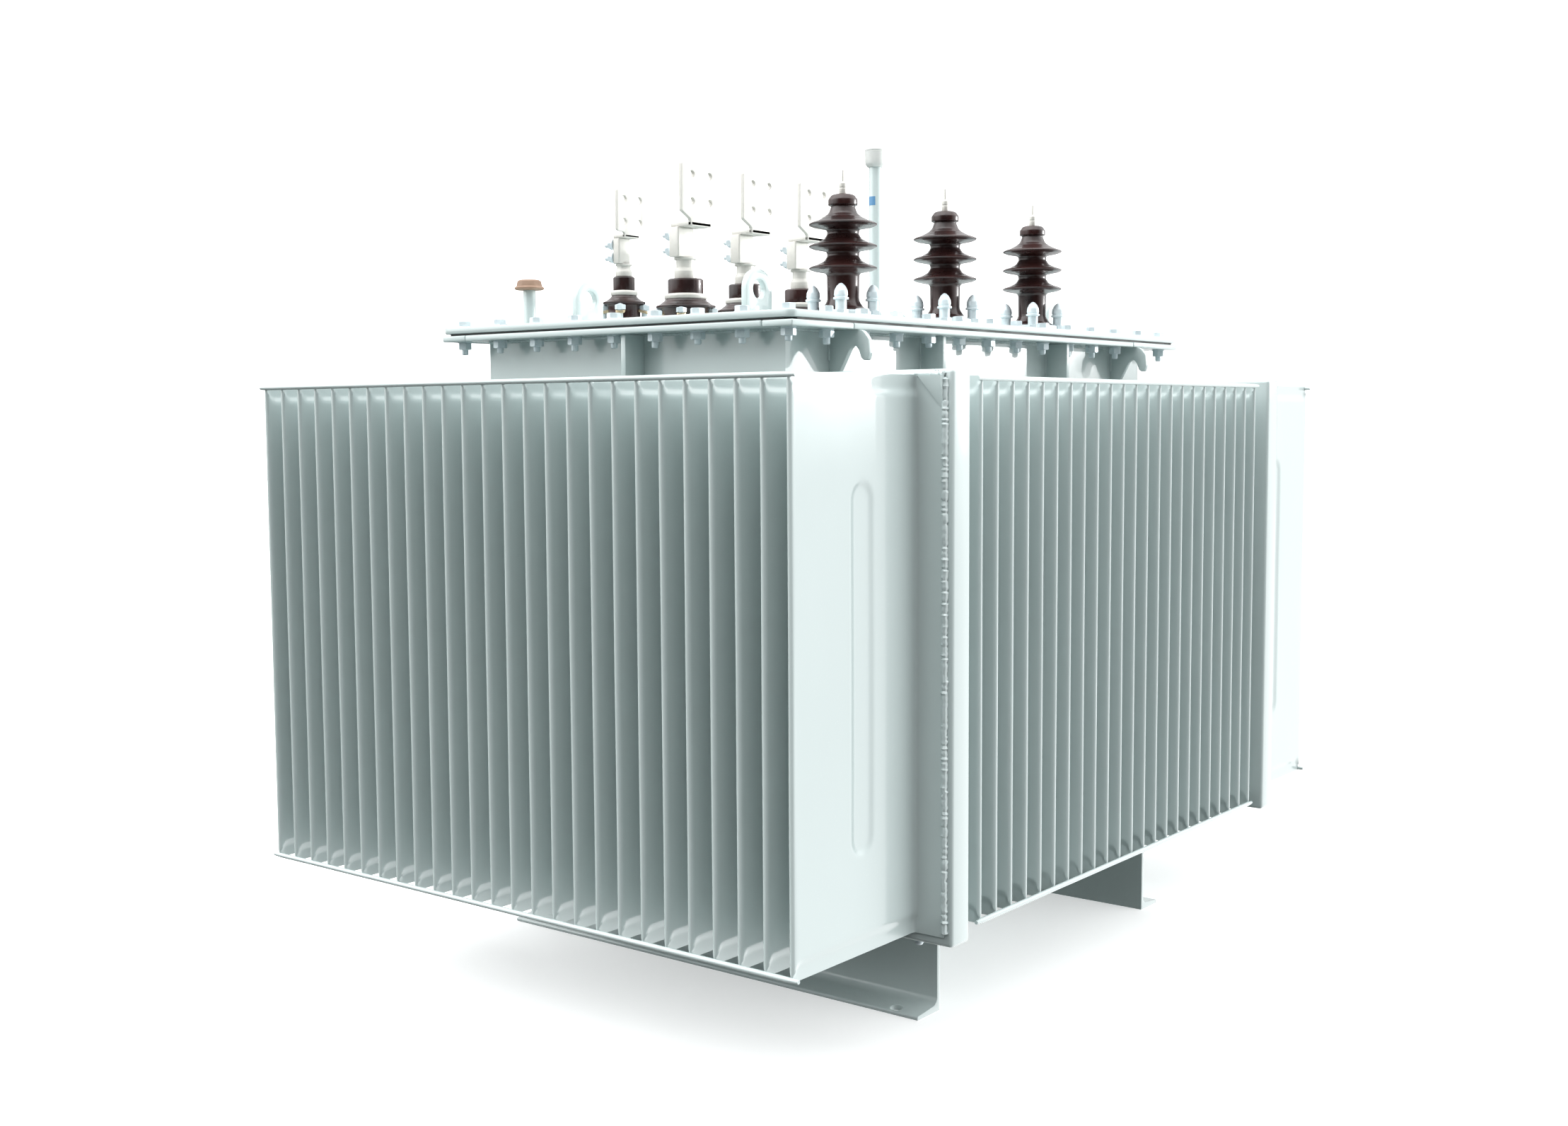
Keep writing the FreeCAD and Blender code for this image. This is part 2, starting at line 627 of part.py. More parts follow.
hv_x = f"{EDGE_X} - hv_edge"
for phase in (1, 2, 3):
    y = f"{phase - 2} * hv_pitch"
    porcelain = turned(f"HvPorcelain_{phase}", hv_porcelain())
    put(porcelain, hv_x, y, COVER_TOP)
    node(porcelain, f"hv_bushing_{phase}")
    ring = turned(f"HvRing_{phase}", HV_RING)
    put(ring, hv_x, y, COVER_TOP)
    node(ring, f"hv_clamp_ring_{phase}")
    head_z = f"{COVER_TOP} + hv_porcelain_height"
    nut = doc.addObject("Part::Prism", f"HvNut_{phase}")
    nut.Polygon = 6
    bind(nut, Circumradius="hv_nut_size / 2", Height="hv_nut_height")
    put(nut, hv_x, y, head_z)
    stud_height = "hv_nut_height + hv_stud_height"
    stud = rod(f"HvStud_{phase}", "hv_stud_diameter / 2", stud_height, hv_x, y, head_z)
    node(fuse(f"HvTerminal_{phase}", nut, stud), f"hv_terminal_{phase}")


# ---------------------------------------------------------------------------
# Low-voltage bushings; size is the prefix of the cells of a phase or of the neutral
# ---------------------------------------------------------------------------
def lv_porcelain(size):
    """Corners of the porcelain, its seal collar and cap, from the cover up."""
    return [
        ("0", "0"),
        (f"{size}_foot_diameter / 2", "0"),
        (f"{size}_foot_diameter / 2", f"{size}_flare_height - 2 * lv_flare_edge"),
        (f"{size}_flare_diameter / 2", f"{size}_flare_height - lv_flare_edge"),
        (f"{size}_flare_diameter / 2", f"{size}_flare_height"),
        (f"{size}_collar_diameter / 2", f"{size}_collar_bottom"),
        (f"{size}_collar_diameter / 2", f"{size}_cap_bottom"),
        (f"{size}_cap_diameter / 2", f"{size}_cap_bottom"),
        (f"{size}_cap_diameter / 2", f"{size}_cap_top"),
        ("0", f"{size}_cap_top"),
    ]


def lv_terminal(name, size):
    """Seal nut, post, clamp block, foot and drilled flag of one terminal, from the cap's top."""
    cap_top = f"{size}_cap_top"
    block_z = f"{size}_block_bottom"
    washer_z = f"{block_z} - {size}_washer_height"
    foot_z = f"{block_z} + {size}_block_height"
    flag_z = f"{foot_z} + {size}_flag_rise"
    sheet = f"{size}_flag_plate"
    neck = f"{size}_flag_neck"
    offset = f"{size}_flag_offset"
    front = f"{size}_block_front"
    back = f"{size}_block_back"
    width = f"{size}_block_width"
    nut = rod(name + "_nut", f"{size}_nut_diameter / 2", f"{size}_nut_height", z=cap_top)
    post = rod(name + "_post", f"{size}_post_diameter / 2", f"{block_z} - {cap_top}", z=cap_top)
    washer = rod(name + "_washer", f"{size}_washer_diameter / 2", f"{size}_washer_height", z=washer_z)
    depth = f"{front} + {back}"
    middle = f"({back} - {front}) / 2"
    block = box(name + "_block", width, depth, f"{size}_block_height", y=middle, z=block_z)
    reach = f"{width} / 2 + {offset} + {sheet} / 2"
    foot = box(name + "_foot", reach, neck, sheet, x=f"({reach}) / 2 - {width} / 2", z=foot_z)
    strap_height = f"{size}_flag_rise - {sheet}"
    strap = box(name + "_strap", sheet, neck, strap_height, x=offset, z=f"{foot_z} + {sheet}")
    flag = box(name + "_flag", sheet, f"{size}_flag_width", f"{size}_flag_height", x=offset, z=flag_z)
    drills = [
        bar(
            f"{name}_drill_{column}_{row}",
            f"{size}_flag_hole_diameter / 2",
            f"3 * {sheet}",
            x=offset,
            y=f"{along} * {size}_flag_hole_spacing / 2",
            z=f"{flag_z} + {size}_flag_height / 2 + {up} * {size}_flag_hole_spacing / 2",
        )
        for column, along in (("near", -1), ("far", 1))
        for row, up in (("low", -1), ("high", 1))
    ]
    return cut(name, fuse(name + "_casting", nut, post, washer, block, foot, strap, flag), *drills)


LV_ROW = (
    ("neutral", "neutral", "-neutral_reach"),
    ("1", "lv", "-lv_pitch"),
    ("2", "lv", "0"),
    ("3", "lv", "lv_pitch"),
)
lv_x = f"lv_edge - {EDGE_X}"
for label, size, y in LV_ROW:
    porcelain = turned(f"LvPorcelain_{label}", lv_porcelain(size))
    put(porcelain, lv_x, y, COVER_TOP)
    node(porcelain, f"lv_bushing_{label}")
    terminal = lv_terminal(f"LvTerminal_{label}", size)
    put(terminal, lv_x, y, COVER_TOP)
    node(terminal, f"lv_terminal_{label}")

# ---------------------------------------------------------------------------
# Pipes on the cover
# ---------------------------------------------------------------------------
relief = (f"relief_edge_x - {EDGE_X}", f"{EDGE_Y} - relief_edge_y")
relief_top = f"{COVER_TOP} + relief_pipe_height"
node(rod("ReliefPipe", "relief_pipe_diameter / 2", "relief_pipe_height", *relief, COVER_TOP), "relief_pipe")
relief_skirt = "relief_cap_rise - relief_cap_height"
relief_cap = turned(
    "ReliefCap",
    [
        ("0", "0"),
        ("relief_pipe_diameter / 2", "0"),
        ("relief_pipe_diameter / 2", relief_skirt),
        ("relief_cap_diameter / 2 - relief_cap_taper", relief_skirt),
        ("relief_cap_diameter / 2", f"{relief_skirt} + relief_cap_height / 3"),
        ("relief_cap_diameter / 2", "relief_cap_rise"),
        ("0", "relief_cap_rise"),
    ],
)
put(relief_cap, *relief, relief_top)
node(relief_cap, "relief_pipe_cap")

filler = (f"filler_edge_x - {EDGE_X}", f"filler_edge_y - {EDGE_Y}")
filler_top = f"{COVER_TOP} + filler_pipe_height"
node(rod("FillerPipe", "filler_pipe_diameter / 2", "filler_pipe_height", *filler, COVER_TOP), "filler_pipe")
filler_cap = turned(
    "FillerCap",
    [
        ("0", "0"),
        ("filler_cap_diameter / 2 - filler_cap_slope", "0"),
        ("filler_cap_diameter / 2", "filler_cap_edge"),
        ("filler_cap_diameter / 2", "filler_cap_height - filler_cap_edge"),
        ("filler_cap_diameter / 2 - filler_cap_edge", "filler_cap_height"),
        ("0", "filler_cap_height"),
    ],
)
put(filler_cap, *filler, filler_top)
node(filler_cap, "filler_cap")


# ---------------------------------------------------------------------------
# Skids: channels with their flanges outwards, drilled for holding-down bolts
# ---------------------------------------------------------------------------
def skid(name):
    """Channel along X with the back of its web at Y = 0 and its flanges towards -Y."""
    web = box(name + "_web", "skid_length", "skid_plate", "skid_height", y="skid_plate / 2")
    flanges = [
        box(
            f"{name}_{place}",
            "skid_length",
            "skid_flange_reach",
            "skid_plate",
            y="-skid_flange_reach / 2",
            z=height,
        )
        for place, height in (("lower", "0"), ("upper", "skid_height - skid_plate"))
    ]
    drills = [
        rod(
            f"{name}_hole_{place}",
            "skid_hole_diameter / 2",
            "3 * skid_plate",
            x=f"{sign}(skid_length / 2 - skid_hole_inset)",
            y="-skid_hole_offset",
            z="-skid_plate",
        )
        for place, sign in (("left", "-"), ("right", ""))
    ]
    return cut(name, fuse(name + "_channel", web, *flanges), *drills)


for end, sign, turn in (("front", "-", 0), ("rear", "", 180)):
    channel = skid(f"Skid_{end}")
    put(channel, "0", f"{sign}skid_web_offset", "0", turn)
    node(channel, f"skid_{end}")

# Drain plug under the right wing of the front header
drain = rod(
    "DrainPlug",
    "drain_diameter / 2",
    "drain_length",
    "tank_width / 2 + header_reach - drain_inset",
    "-(tank_length - header_depth) / 2",
    "skid_height - drain_length",
)
node(drain, "drain_plug")

# ---------------------------------------------------------------------------
# Check every object, then write each sub-part
# ---------------------------------------------------------------------------
doc.recompute()
for thing in doc.Objects:
    faults = [word for word in thing.State if word in ("Invalid", "Error")]
    if faults:
        raise RuntimeError(f"{thing.Name} failed: {faults}")
for piece in NODES:
    if piece.Shape.isNull() or not piece.Shape.isValid():
        raise RuntimeError(f"{piece.Label} has no valid shape")

os.makedirs("parts", exist_ok=True)
for piece in NODES:
    piece.Shape.exportStep(f"parts/{piece.Label}.step")
    solids = len(piece.Shape.Solids)
    print(f"{piece.Label}: {solids} solid(s), {piece.Shape.Volume / 1e6:.3f} dm3")
print(f"{len(NODES)} nodes")
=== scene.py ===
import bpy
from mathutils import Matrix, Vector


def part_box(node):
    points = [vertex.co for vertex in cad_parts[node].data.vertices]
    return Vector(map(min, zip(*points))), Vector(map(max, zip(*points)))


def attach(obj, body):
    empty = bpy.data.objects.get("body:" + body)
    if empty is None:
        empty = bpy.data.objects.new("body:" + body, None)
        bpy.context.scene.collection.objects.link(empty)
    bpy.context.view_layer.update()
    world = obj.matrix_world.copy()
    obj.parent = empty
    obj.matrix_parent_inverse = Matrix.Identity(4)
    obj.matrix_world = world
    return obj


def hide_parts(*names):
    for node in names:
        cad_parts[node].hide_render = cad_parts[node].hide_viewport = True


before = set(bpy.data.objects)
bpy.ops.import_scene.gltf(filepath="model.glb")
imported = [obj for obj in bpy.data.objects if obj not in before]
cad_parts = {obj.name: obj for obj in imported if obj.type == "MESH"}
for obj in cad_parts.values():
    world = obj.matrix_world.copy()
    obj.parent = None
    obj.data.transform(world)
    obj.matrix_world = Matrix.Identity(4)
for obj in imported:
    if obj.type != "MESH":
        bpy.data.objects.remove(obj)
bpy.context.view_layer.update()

# %% [markdown]
# # A sealed three-phase power transformer
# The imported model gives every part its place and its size. This lesson dresses it: rounded sheet metal,
# weld beads, glazed porcelain and bolts, all made in mesh code, and finishes made of shader nodes.
# +X is the high-voltage side, -X the low-voltage side, and -Y is called the front.

# %% Tools
import math
import random

import bmesh
import bpy
from mathutils import Matrix, Vector, noise

scene = bpy.context.scene
print("Blender", bpy.app.version_string)

# %% [markdown]
# ## Writing a finish as arithmetic
# A shader is a graph of nodes. Placed one by one, a simple formula takes a page, so a socket is wrapped in a
# small class that knows +, - and *. An expression such as `1 - mask * 0.2` then adds its own nodes.
# Colours go through Mix nodes, because a Math node would turn them grey.


# %% Wire: a socket that can be calculated with
class Wire:
    """An output socket of a finish, for use in expressions."""

    def __init__(self, finish, socket):
        self.finish = finish
        self.socket = socket

    def _sum(self, operation, left, right):
        kinds = {value.socket.type for value in (left, right) if isinstance(value, Wire)}
        if "RGBA" in kinds:
            settings = {"data_type": "RGBA", "blend_type": operation}
            return self.finish.node("Mix", settings, {0: 1.0, 6: tint(left), 7: tint(right)}, 2)
        if "VECTOR" in kinds:
            return self.finish.node("VectorMath", {"operation": operation}, {0: arrow(left), 1: arrow(right)})
        return self.finish.node("Math", {"operation": operation}, {0: left, 1: right})

    def __add__(self, other):
        return self._sum("ADD", self, other)

    def __radd__(self, other):
        return self._sum("ADD", other, self)

    def __sub__(self, other):
        return self._sum("SUBTRACT", self, other)

    def __rsub__(self, other):
        return self._sum("SUBTRACT", other, self)

    def __mul__(self, other):
        return self._sum("MULTIPLY", self, other)

    def __rmul__(self, other):
        return self._sum("MULTIPLY", other, self)


def tint(value):
    """A wire, a grey level or an RGB triple, as a colour socket takes it."""
    if isinstance(value, Wire):
        return value
    return (value, value, value, 1.0) if isinstance(value, (int, float)) else (*value, 1.0)


def arrow(value):
    """A wire, a number or a triple, as a vector socket takes it."""
    if isinstance(value, Wire):
        return value
    return (value,) * 3 if isinstance(value, (int, float)) else tuple(value)


print("Wire adds, subtracts and multiplies numbers, vectors and colours")

# %% [markdown]
# ## The bench for finishes
# A `Finish` holds one material, or a world. Its `node` method is the only way that a node is made: the type,
# then its settings, then its sockets. The other methods are short names for patterns used again and again:
# cloudy noise, a soft threshold, a mix of two colours and a bump.


# %% Finish: a material and its nodes
class Finish:
    """A material or a world under construction."""

    def __init__(self, name, owner=None):
        self.owner = owner or bpy.data.materials.new(name)
        self.owner.use_nodes = True
        self.tree = self.owner.node_tree
        self.tree.nodes.clear()
        self.place = self.node("TexCoord", output="Object")

    def node(self, kind, settings=None, inputs=None, output=0):
        """Adds a node: settings first, then values or wires by socket name or number."""
        made = self.tree.nodes.new("ShaderNode" + kind)
        for key, value in (settings or {}).items():
            setattr(made, key, value)
        for key, value in (inputs or {}).items():
            if isinstance(value, Wire):
                self.tree.links.new(value.socket, made.inputs[key])
            else:
                made.inputs[key].default_value = value
        return None if output is None else Wire(self, made.outputs[output])

    def cloud(self, scale, detail=3.0, stretch=(1, 1, 1)):
        """Noise from 0 to 1 with about so many features in a metre."""
        inputs = {"Vector": self.place * stretch, "Scale": scale, "Detail": detail, "Roughness": 0.55}
        return self.node("TexNoise", {}, inputs, "Fac")

    def step(self, wire, low, high):
        """0 below low, 1 above high, smooth between them."""
        settings = {"interpolation_type": "SMOOTHSTEP"}
        return self.node("MapRange", settings, {0: wire, 1: low, 2: high, 3: 0.0, 4: 1.0})

    def blend(self, mask, low, high):
        """One colour where the mask is 0, the other where it is 1."""
        return self.node("Mix", {"data_type": "RGBA"}, {0: mask, 6: tint(low), 7: tint(high)}, 2)

    def bump(self, height, distance, strength=1.0, under=None):
        """Surface relief; distance is its depth in metres."""
        inputs = {"Height": height, "Distance": distance, "Strength": strength}
        if under is not None:
            inputs["Normal"] = under
        return self.node("Bump", {}, inputs, "Normal")

    def coat(self, **sockets):
        """The shader, wired to the output. An underscore stands for the space in a socket's name."""
        inputs = {name.replace("_", " "): value for name, value in sockets.items()}
        shader = self.node("BsdfPrincipled", {}, inputs, "BSDF")
        self.node("OutputMaterial", {}, {"Surface": shader}, None)
        return self.owner


print("Finish is ready")

# %% [markdown]
# ## Tank paint
# The tank, the fins and the skids share one sprayed enamel, a light grey-green. Real spray coats show three
# things: faint clouds in the colour, an orange-peel skin of small ripples that softens the gloss, and long
# shallow waves of the thin sheet below. All three are noise at different scales. Weld beads get a
# paler copy of the paint, a painted highlight for the light that catches them, over a rougher relief.


# %% Mix the tank paint
def enamel(name, shade, ripple=1.0, waves=1.0, lumps=0.0):
    """Glossy sprayed enamel over sheet metal."""
    paint = Finish(name)
    patches = paint.cloud(3.5, 4)
    streaks = paint.cloud(14, 3, (1, 1, 0.12))
    specks = paint.step(paint.cloud(420, 1), 0.70, 0.78)
    base = paint.blend(patches, [value * 0.965 for value in shade], [min(value * 1.03, 1) for value in shade])
    base = paint.blend(streaks * 0.10, base, [value * 0.86 for value in shade])
    base = paint.blend(specks * 0.18, base, [value * 0.55 for value in shade])
    skin = paint.cloud(330, 2)
    relief = paint.bump(skin, 0.00006, 0.35 * ripple)
    sheet = paint.cloud(9, 2, (1, 1, 0.45))
    relief = paint.bump(sheet, 0.0022, 0.30 * waves, relief)
    if lumps:
        relief = paint.bump(paint.cloud(160, 4), 0.0012, lumps, relief)
    smudge = paint.cloud(7, 5)
    gloss = 0.17 + smudge * 0.14 + specks * 0.2
    return paint.coat(
        Base_Color=base, Roughness=gloss, Normal=relief, IOR=1.5, Coat_Weight=0.55, Coat_Roughness=0.06
    )


ENAMEL = (0.560, 0.640, 0.636)
tank_paint = enamel("tank_enamel", ENAMEL)
plate_paint = enamel("plate_enamel", ENAMEL, waves=0.3)
# The weld paint is paler than the tank paint: a painted highlight for the light that catches the beads.
weld_highlight_paint = enamel("weld_enamel_painted_highlight", (0.60, 0.68, 0.68), ripple=2.0, waves=0.0, lumps=0.5)
print("paint:", tank_paint.name, plate_paint.name, weld_highlight_paint.name)

# %% [markdown]
# ## Porcelain
# Bushings are fired with a dark brown glaze. Where the glaze runs thin the body shows redder, and where it
# pools it is nearly black, so two browns are mixed by a cloud that is stretched along the height. The glass
# skin is a thin clear coat with almost no roughness, over a base that is a little duller.

# %% Fire the porcelain
glaze = Finish("brown_glaze")
pooled = glaze.step(glaze.cloud(26, 4, (1, 1, 0.4)), 0.35, 0.70)
glaze_base = glaze.blend(pooled, (0.034, 0.012, 0.011), (0.014, 0.006, 0.006))
pinholes = glaze.step(glaze.cloud(700, 1), 0.72, 0.80)
glaze_base = glaze.blend(pinholes * 0.5, glaze_base, (0.11, 0.06, 0.05))
glaze_relief = glaze.bump(glaze.cloud(60, 2), 0.0004, 0.25)
porcelain = glaze.coat(
    Base_Color=glaze_base,
    Roughness=0.22 + glaze.cloud(40, 3) * 0.14,
    Normal=glaze_relief,
    IOR=1.38,
    Coat_Weight=0.35,
    Coat_Roughness=0.04,
)
print("glaze:", porcelain.name)

# %% [markdown]
# ## Metals
# Three bare metals are left. The low-voltage terminals are tinned castings, pale and satin. Bolts and
# clamps are zinc plated, brighter and a little blue. The clamp jaws have a yellow passivated film. Each is a
# metal mixed with a noise for its grain, and rougher where it has been handled.


# %% Plate the metals
def plated(name, light, dark, metallic, rough, grain):
    """Plated or tinned metal with a cloudy film and a fine grain."""
    film = Finish(name)
    dull = film.step(film.cloud(55, 5), 0.35, 0.72)
    base = film.blend(dull, light, dark)
    grains = film.cloud(grain, 3)
    relief = film.bump(grains, 0.00008, 0.25)
    gloss = rough + dull * 0.12 + grains * 0.08
    return film.coat(Base_Color=base, Metallic=metallic, Roughness=gloss, Normal=relief)


tin = plated("tinned_casting", (0.66, 0.645, 0.605), (0.62, 0.605, 0.565), 0.10, 0.34, 300)
zinc = plated("zinc_plate", (0.74, 0.82, 0.85), (0.62, 0.70, 0.74), 0.15, 0.26, 260)
brass = plated("yellow_zinc", (0.72, 0.62, 0.42), (0.44, 0.34, 0.22), 0.8, 0.22, 260)
print("metals:", tin.name, zinc.name, brass.name)

# %% [markdown]
# ## Rubber, caps and label
# The gasket is black rubber with a dusty bloom. The tall pipe has an off-white plastic cap, and the filler a
# tan one that has aged in the sun. The label on the tall pipe is a plain blue patch with nothing on it.


# %% Mould the rubber and the plastics
def moulded(name, light, dark, rough, pits):
    """Moulded rubber or plastic, faded in patches."""
    mass = Finish(name)
    faded = mass.step(mass.cloud(38, 4), 0.3, 0.75)
    base = mass.blend(faded, light, dark)
    relief = mass.bump(mass.cloud(pits, 3), 0.0002, 0.35)
    return mass.coat(Base_Color=base, Roughness=rough + faded * 0.15, Normal=relief, IOR=1.46)


rubber = moulded("gasket_rubber", (0.020, 0.021, 0.021), (0.045, 0.046, 0.045), 0.55, 500)
white_plastic = moulded("white_cap", (0.70, 0.71, 0.69), (0.60, 0.61, 0.59), 0.35, 400)
tan_plastic = moulded("tan_cap", (0.36, 0.235, 0.165), (0.27, 0.170, 0.115), 0.50, 300)
blue_label = moulded("blue_label", (0.10, 0.27, 0.50), (0.14, 0.32, 0.54), 0.30, 600)
print("moulded:", rubber.name, white_plastic.name, tan_plastic.name, blue_label.name)

# %% [markdown]
# ## The bench for shapes
# Real edges are never sharp, so every outline is given with a radius at each corner, and `rounded` turns
# those corners into arcs. Outlines are in millimetres, as on a drawing.


# %% Round the corners of an outline
def rounded(corners, closed=True, steps=4):
    """Points of an outline; each corner is (a, b) or (a, b, radius)."""
    spots = [Vector(corner[:2]) for corner in corners]
    last = len(spots) - 1
    outline = []
    for place, corner in enumerate(corners):
        radius = corner[2] if len(corner) > 2 else 0
        if not radius or (not closed and place in (0, last)):
            outline.append(spots[place])
            continue
        back = spots[place - 1] - spots[place]
        onward = spots[(place + 1) % len(spots)] - spots[place]
        half = back.angle(onward) / 2
        reach = min(radius / math.tan(half), 0.49 * back.length, 0.49 * onward.length)
        middle = (back.normalized() + onward.normalized()).normalized()
        centre = spots[place] + middle * reach / math.cos(half)
        start = spots[place] + back.normalized() * reach - centre
        end = spots[place] + onward.normalized() * reach - centre
        turn = math.atan2(start.x * end.y - start.y * end.x, start.dot(end))
        for step in range(steps + 1):
            outline.append(centre + Matrix.Rotation(turn * step / steps, 2) @ start)
    return outline


print("a rounded square has", len(rounded([(0, 0, 2), (9, 0, 2), (9, 9, 2), (0, 9, 2)])), "points")

# %% [markdown]
# A piece is laid together from shells on a `Bench`: rings of points swept along something, solids turned
# about an axis, plates cut from sheet, rounded blocks, nuts and weld beads. At the end `finish` scales them
# to metres, turns all faces outwards, marks the sharp edges and hands the piece to the frame.


# %% Bench: shells become a piece
SHARP_FROM = math.radians(38)
MILLIMETRE = 0.001


class Bench:
    """Shapes in millimetres that will be one piece."""

    def __init__(self):
        self.points = []
        self.faces = []

    def shell(self, points, faces):
        first = len(self.points)
        self.points += [Vector(point) for point in points]
        self.faces += [[first + index for index in face] for face in faces]

    def sweep(self, rings, loop=False):
        """Skin over rings of equally many points, closed at both ends or joined in a loop."""
        size = len(rings[0])
        faces = []
        for ring in range(len(rings) if loop else len(rings) - 1):
            here, there = ring * size, (ring + 1) % len(rings) * size
            for spot in range(size):
                after = (spot + 1) % size
                faces.append([here + spot, here + after, there + after, there + spot])
        if not loop:
            faces.append(list(range(size))[::-1])
            faces.append(list(range((len(rings) - 1) * size, len(rings) * size)))
        self.shell([point for ring in rings for point in ring], faces)

    def turn(self, profile, foot, axis=(0, 0, 1), steps=48):
        """Solid of revolution: profile of (radius, height) from the foot along the axis."""
        lean = Vector((0, 0, 1)).rotation_difference(Vector(axis)).to_matrix()
        rings = []
        for radius, height in profile:
            ring = []
            for step in range(steps):
                angle = math.tau * step / steps
                spot = Vector((radius * math.cos(angle), radius * math.sin(angle), height))
                ring.append(lean @ spot + Vector(foot))
            rings.append(ring)
        self.sweep(rings)

    def solid(self, bm):
        """Takes over a bmesh."""
        bm.verts.index_update()
        self.shell([vert.co for vert in bm.verts], [[vert.index for vert in face.verts] for face in bm.faces])
        bm.free()

    def block(self, low, high, edge, steps=2):
        """Box with rounded edges."""
        bm = bmesh.new()
        bmesh.ops.create_cube(bm, size=1)
        low, high = Vector(low), Vector(high)
        for vert in bm.verts:
            vert.co = Vector([(a + b) / 2 + (b - a) * c for a, b, c in zip(low, high, vert.co)])
        bmesh.ops.bevel(bm, geom=bm.edges[:], offset=edge, segments=steps, profile=0.5, affect="EDGES")
        self.solid(bm)

    def slab(self, outline, thickness, lay, holes=(), edge=0.8):
        """Plate from an outline of (a, b), with round holes (a, b, radius); lay puts (a, b, c) in space."""
        bm = bmesh.new()
        loops = [outline]
        for a, b, radius in holes:
            around = [math.tau * step / 28 for step in range(28)]
            loops.append([(a + radius * math.cos(t), b + radius * math.sin(t)) for t in around])
        rims = []
        for loop in loops:
            verts = [bm.verts.new((a, b, 0)) for a, b in loop]
            rims += [bm.edges.new((verts[k - 1], verts[k])) for k in range(len(verts))]
        front = bmesh.ops.triangle_fill(bm, edges=rims, use_beauty=True)["geom"]
        front = [thing for thing in front if isinstance(thing, bmesh.types.BMFace)]
        moved = bmesh.ops.extrude_face_region(bm, geom=front)["geom"]
        moved = [thing for thing in moved if isinstance(thing, bmesh.types.BMVert)]
        bmesh.ops.translate(bm, verts=moved, vec=(0, 0, thickness))
        if edge:
            bmesh.ops.recalc_face_normals(bm, faces=bm.faces)
            sharp = [e for e in bm.edges if len(e.link_faces) == 2 and e.calc_face_angle() > 1.2]
            bmesh.ops.bevel(bm, geom=sharp, offset=edge, segments=2, profile=0.5, affect="EDGES")
        for vert in bm.verts:
            vert.co = lay(*vert.co)
        self.solid(bm)

    def hexagon(self, foot, across, height, axis=(0, 0, 1), spin=0.0, both=True):
        """Hexagonal head or nut with its corners turned off."""
        lean = Vector((0, 0, 1)).rotation_difference(Vector(axis)).to_matrix()
        flat = across / 2
        rings = []
        for level in (0, 1, 2, 3):
            ring = []
            for step in range(36):
                angle = math.tau * step / 36
                reach = flat / math.cos((angle + math.tau / 12) % (math.tau / 6) - math.tau / 12)
                drop = (reach - flat * 0.97) * 0.55
                low = drop if both else 0
                lift = (0, low, height - drop, height)[level]
                radius = flat * 0.97 if level == 3 or (level == 0 and both) else reach
                swing = angle + spin
                spot = Vector((radius * math.cos(swing), radius * math.sin(swing), lift))
                ring.append(lean @ spot + Vector(foot))
            rings.append(ring)
        self.sweep(rings)

    def disc(self, radius, tall, edge, foot, axis=(0, 0, 1), steps=24):
        """Washer or plug with rounded edges."""
        profile = [(0, 0), (radius, 0, edge), (radius, tall, edge), (0, tall)]
        self.turn(rounded(profile, False, 2), foot, axis, steps)

    def hoop(self, section, middle, steps):
        """Closed ring from a section of (radius, height)."""
        x, y, z = middle
        rings = []
        for step in range(steps):
            t = math.tau * step / steps
            rings.append([(x + r * math.cos(t), y + r * math.sin(t), z + h) for r, h in section])
        self.sweep(rings, True)

    def blob(self, spot, size, tip, shoulder, steps):
        """Drop of weld metal."""
        half = [(tip, -size), (size * 0.8, -size * shoulder), (size, 0)]
        self.turn(half + [(size * 0.8, size * shoulder), (tip, size)], spot, steps=steps)

    def bead(self, path, radius, seed, pitch=5.0):
        """Weld bead: a ripple every pitch, no two alike."""
        sides = 8
        chance = random.Random(seed)
        spots = [Vector(point) for point in path]
        stations = []
        for start, end in zip(spots, spots[1:]):
            count = max(2, round((end - start).length / (pitch / 2.5)))
            stations += [(start.lerp(end, step / count), (end - start).normalized()) for step in range(count)]
        stations.append((spots[-1], (spots[-1] - spots[-2]).normalized()))
        rings = []
        for number, (centre, ahead) in enumerate(stations):
            side = ahead.orthogonal().normalized()
            over = ahead.cross(side)
            size = radius * (0.80 + 0.30 * abs(math.sin(number * 1.26)) + chance.uniform(-0.12, 0.12))
            if number in (0, len(stations) - 1):
                size *= 0.3
            sway = Vector([chance.uniform(-0.12, 0.12) * radius for axis in range(3)])
            ring = []
            for step in range(sides):
                angle = math.tau * step / sides
                ring.append(centre + sway + size * (math.cos(angle) * side + math.sin(angle) * over))
            rings.append(ring)
        self.sweep(rings)

    def finish(self, name, coat, slot, stands_for=()):
        """Makes the object and gives it to the frame."""
        mesh = bpy.data.meshes.new(name)
        mesh.from_pydata([point * MILLIMETRE for point in self.points], [], self.faces)
        bm = bmesh.new()
        bm.from_mesh(mesh)
        bmesh.ops.recalc_face_normals(bm, faces=bm.faces)
        bm.to_mesh(mesh)
        bm.free()
        mesh.materials.append(coat)
        mesh.shade_smooth()
        mesh.set_sharp_from_angle(angle=SHARP_FROM)
        piece = bpy.data.objects.new(name, mesh)
        scene.collection.objects.link(piece)
        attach(piece, "root")
        if stands_for:
            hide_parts(*stands_for)
        print(f"{name}: {len(mesh.polygons)} faces")
        return piece


def box(node):
    """Lowest and highest corner of a node of the frame, in millimetres."""
    return [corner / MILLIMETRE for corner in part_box(node)]


def foot_of(node):
    """Middle of a node's underside, in millimetres."""
    low, high = box(node)
    return (low.x + high.x) / 2, (low.y + high.y) / 2, low.z


# %% [markdown]
# ## Camera
# The camera stands a little under the cover, off the corner between the high-voltage side and the front, so
# no top face shows. Its matrix is built from a heading, a slight downward tilt and a trace of roll.

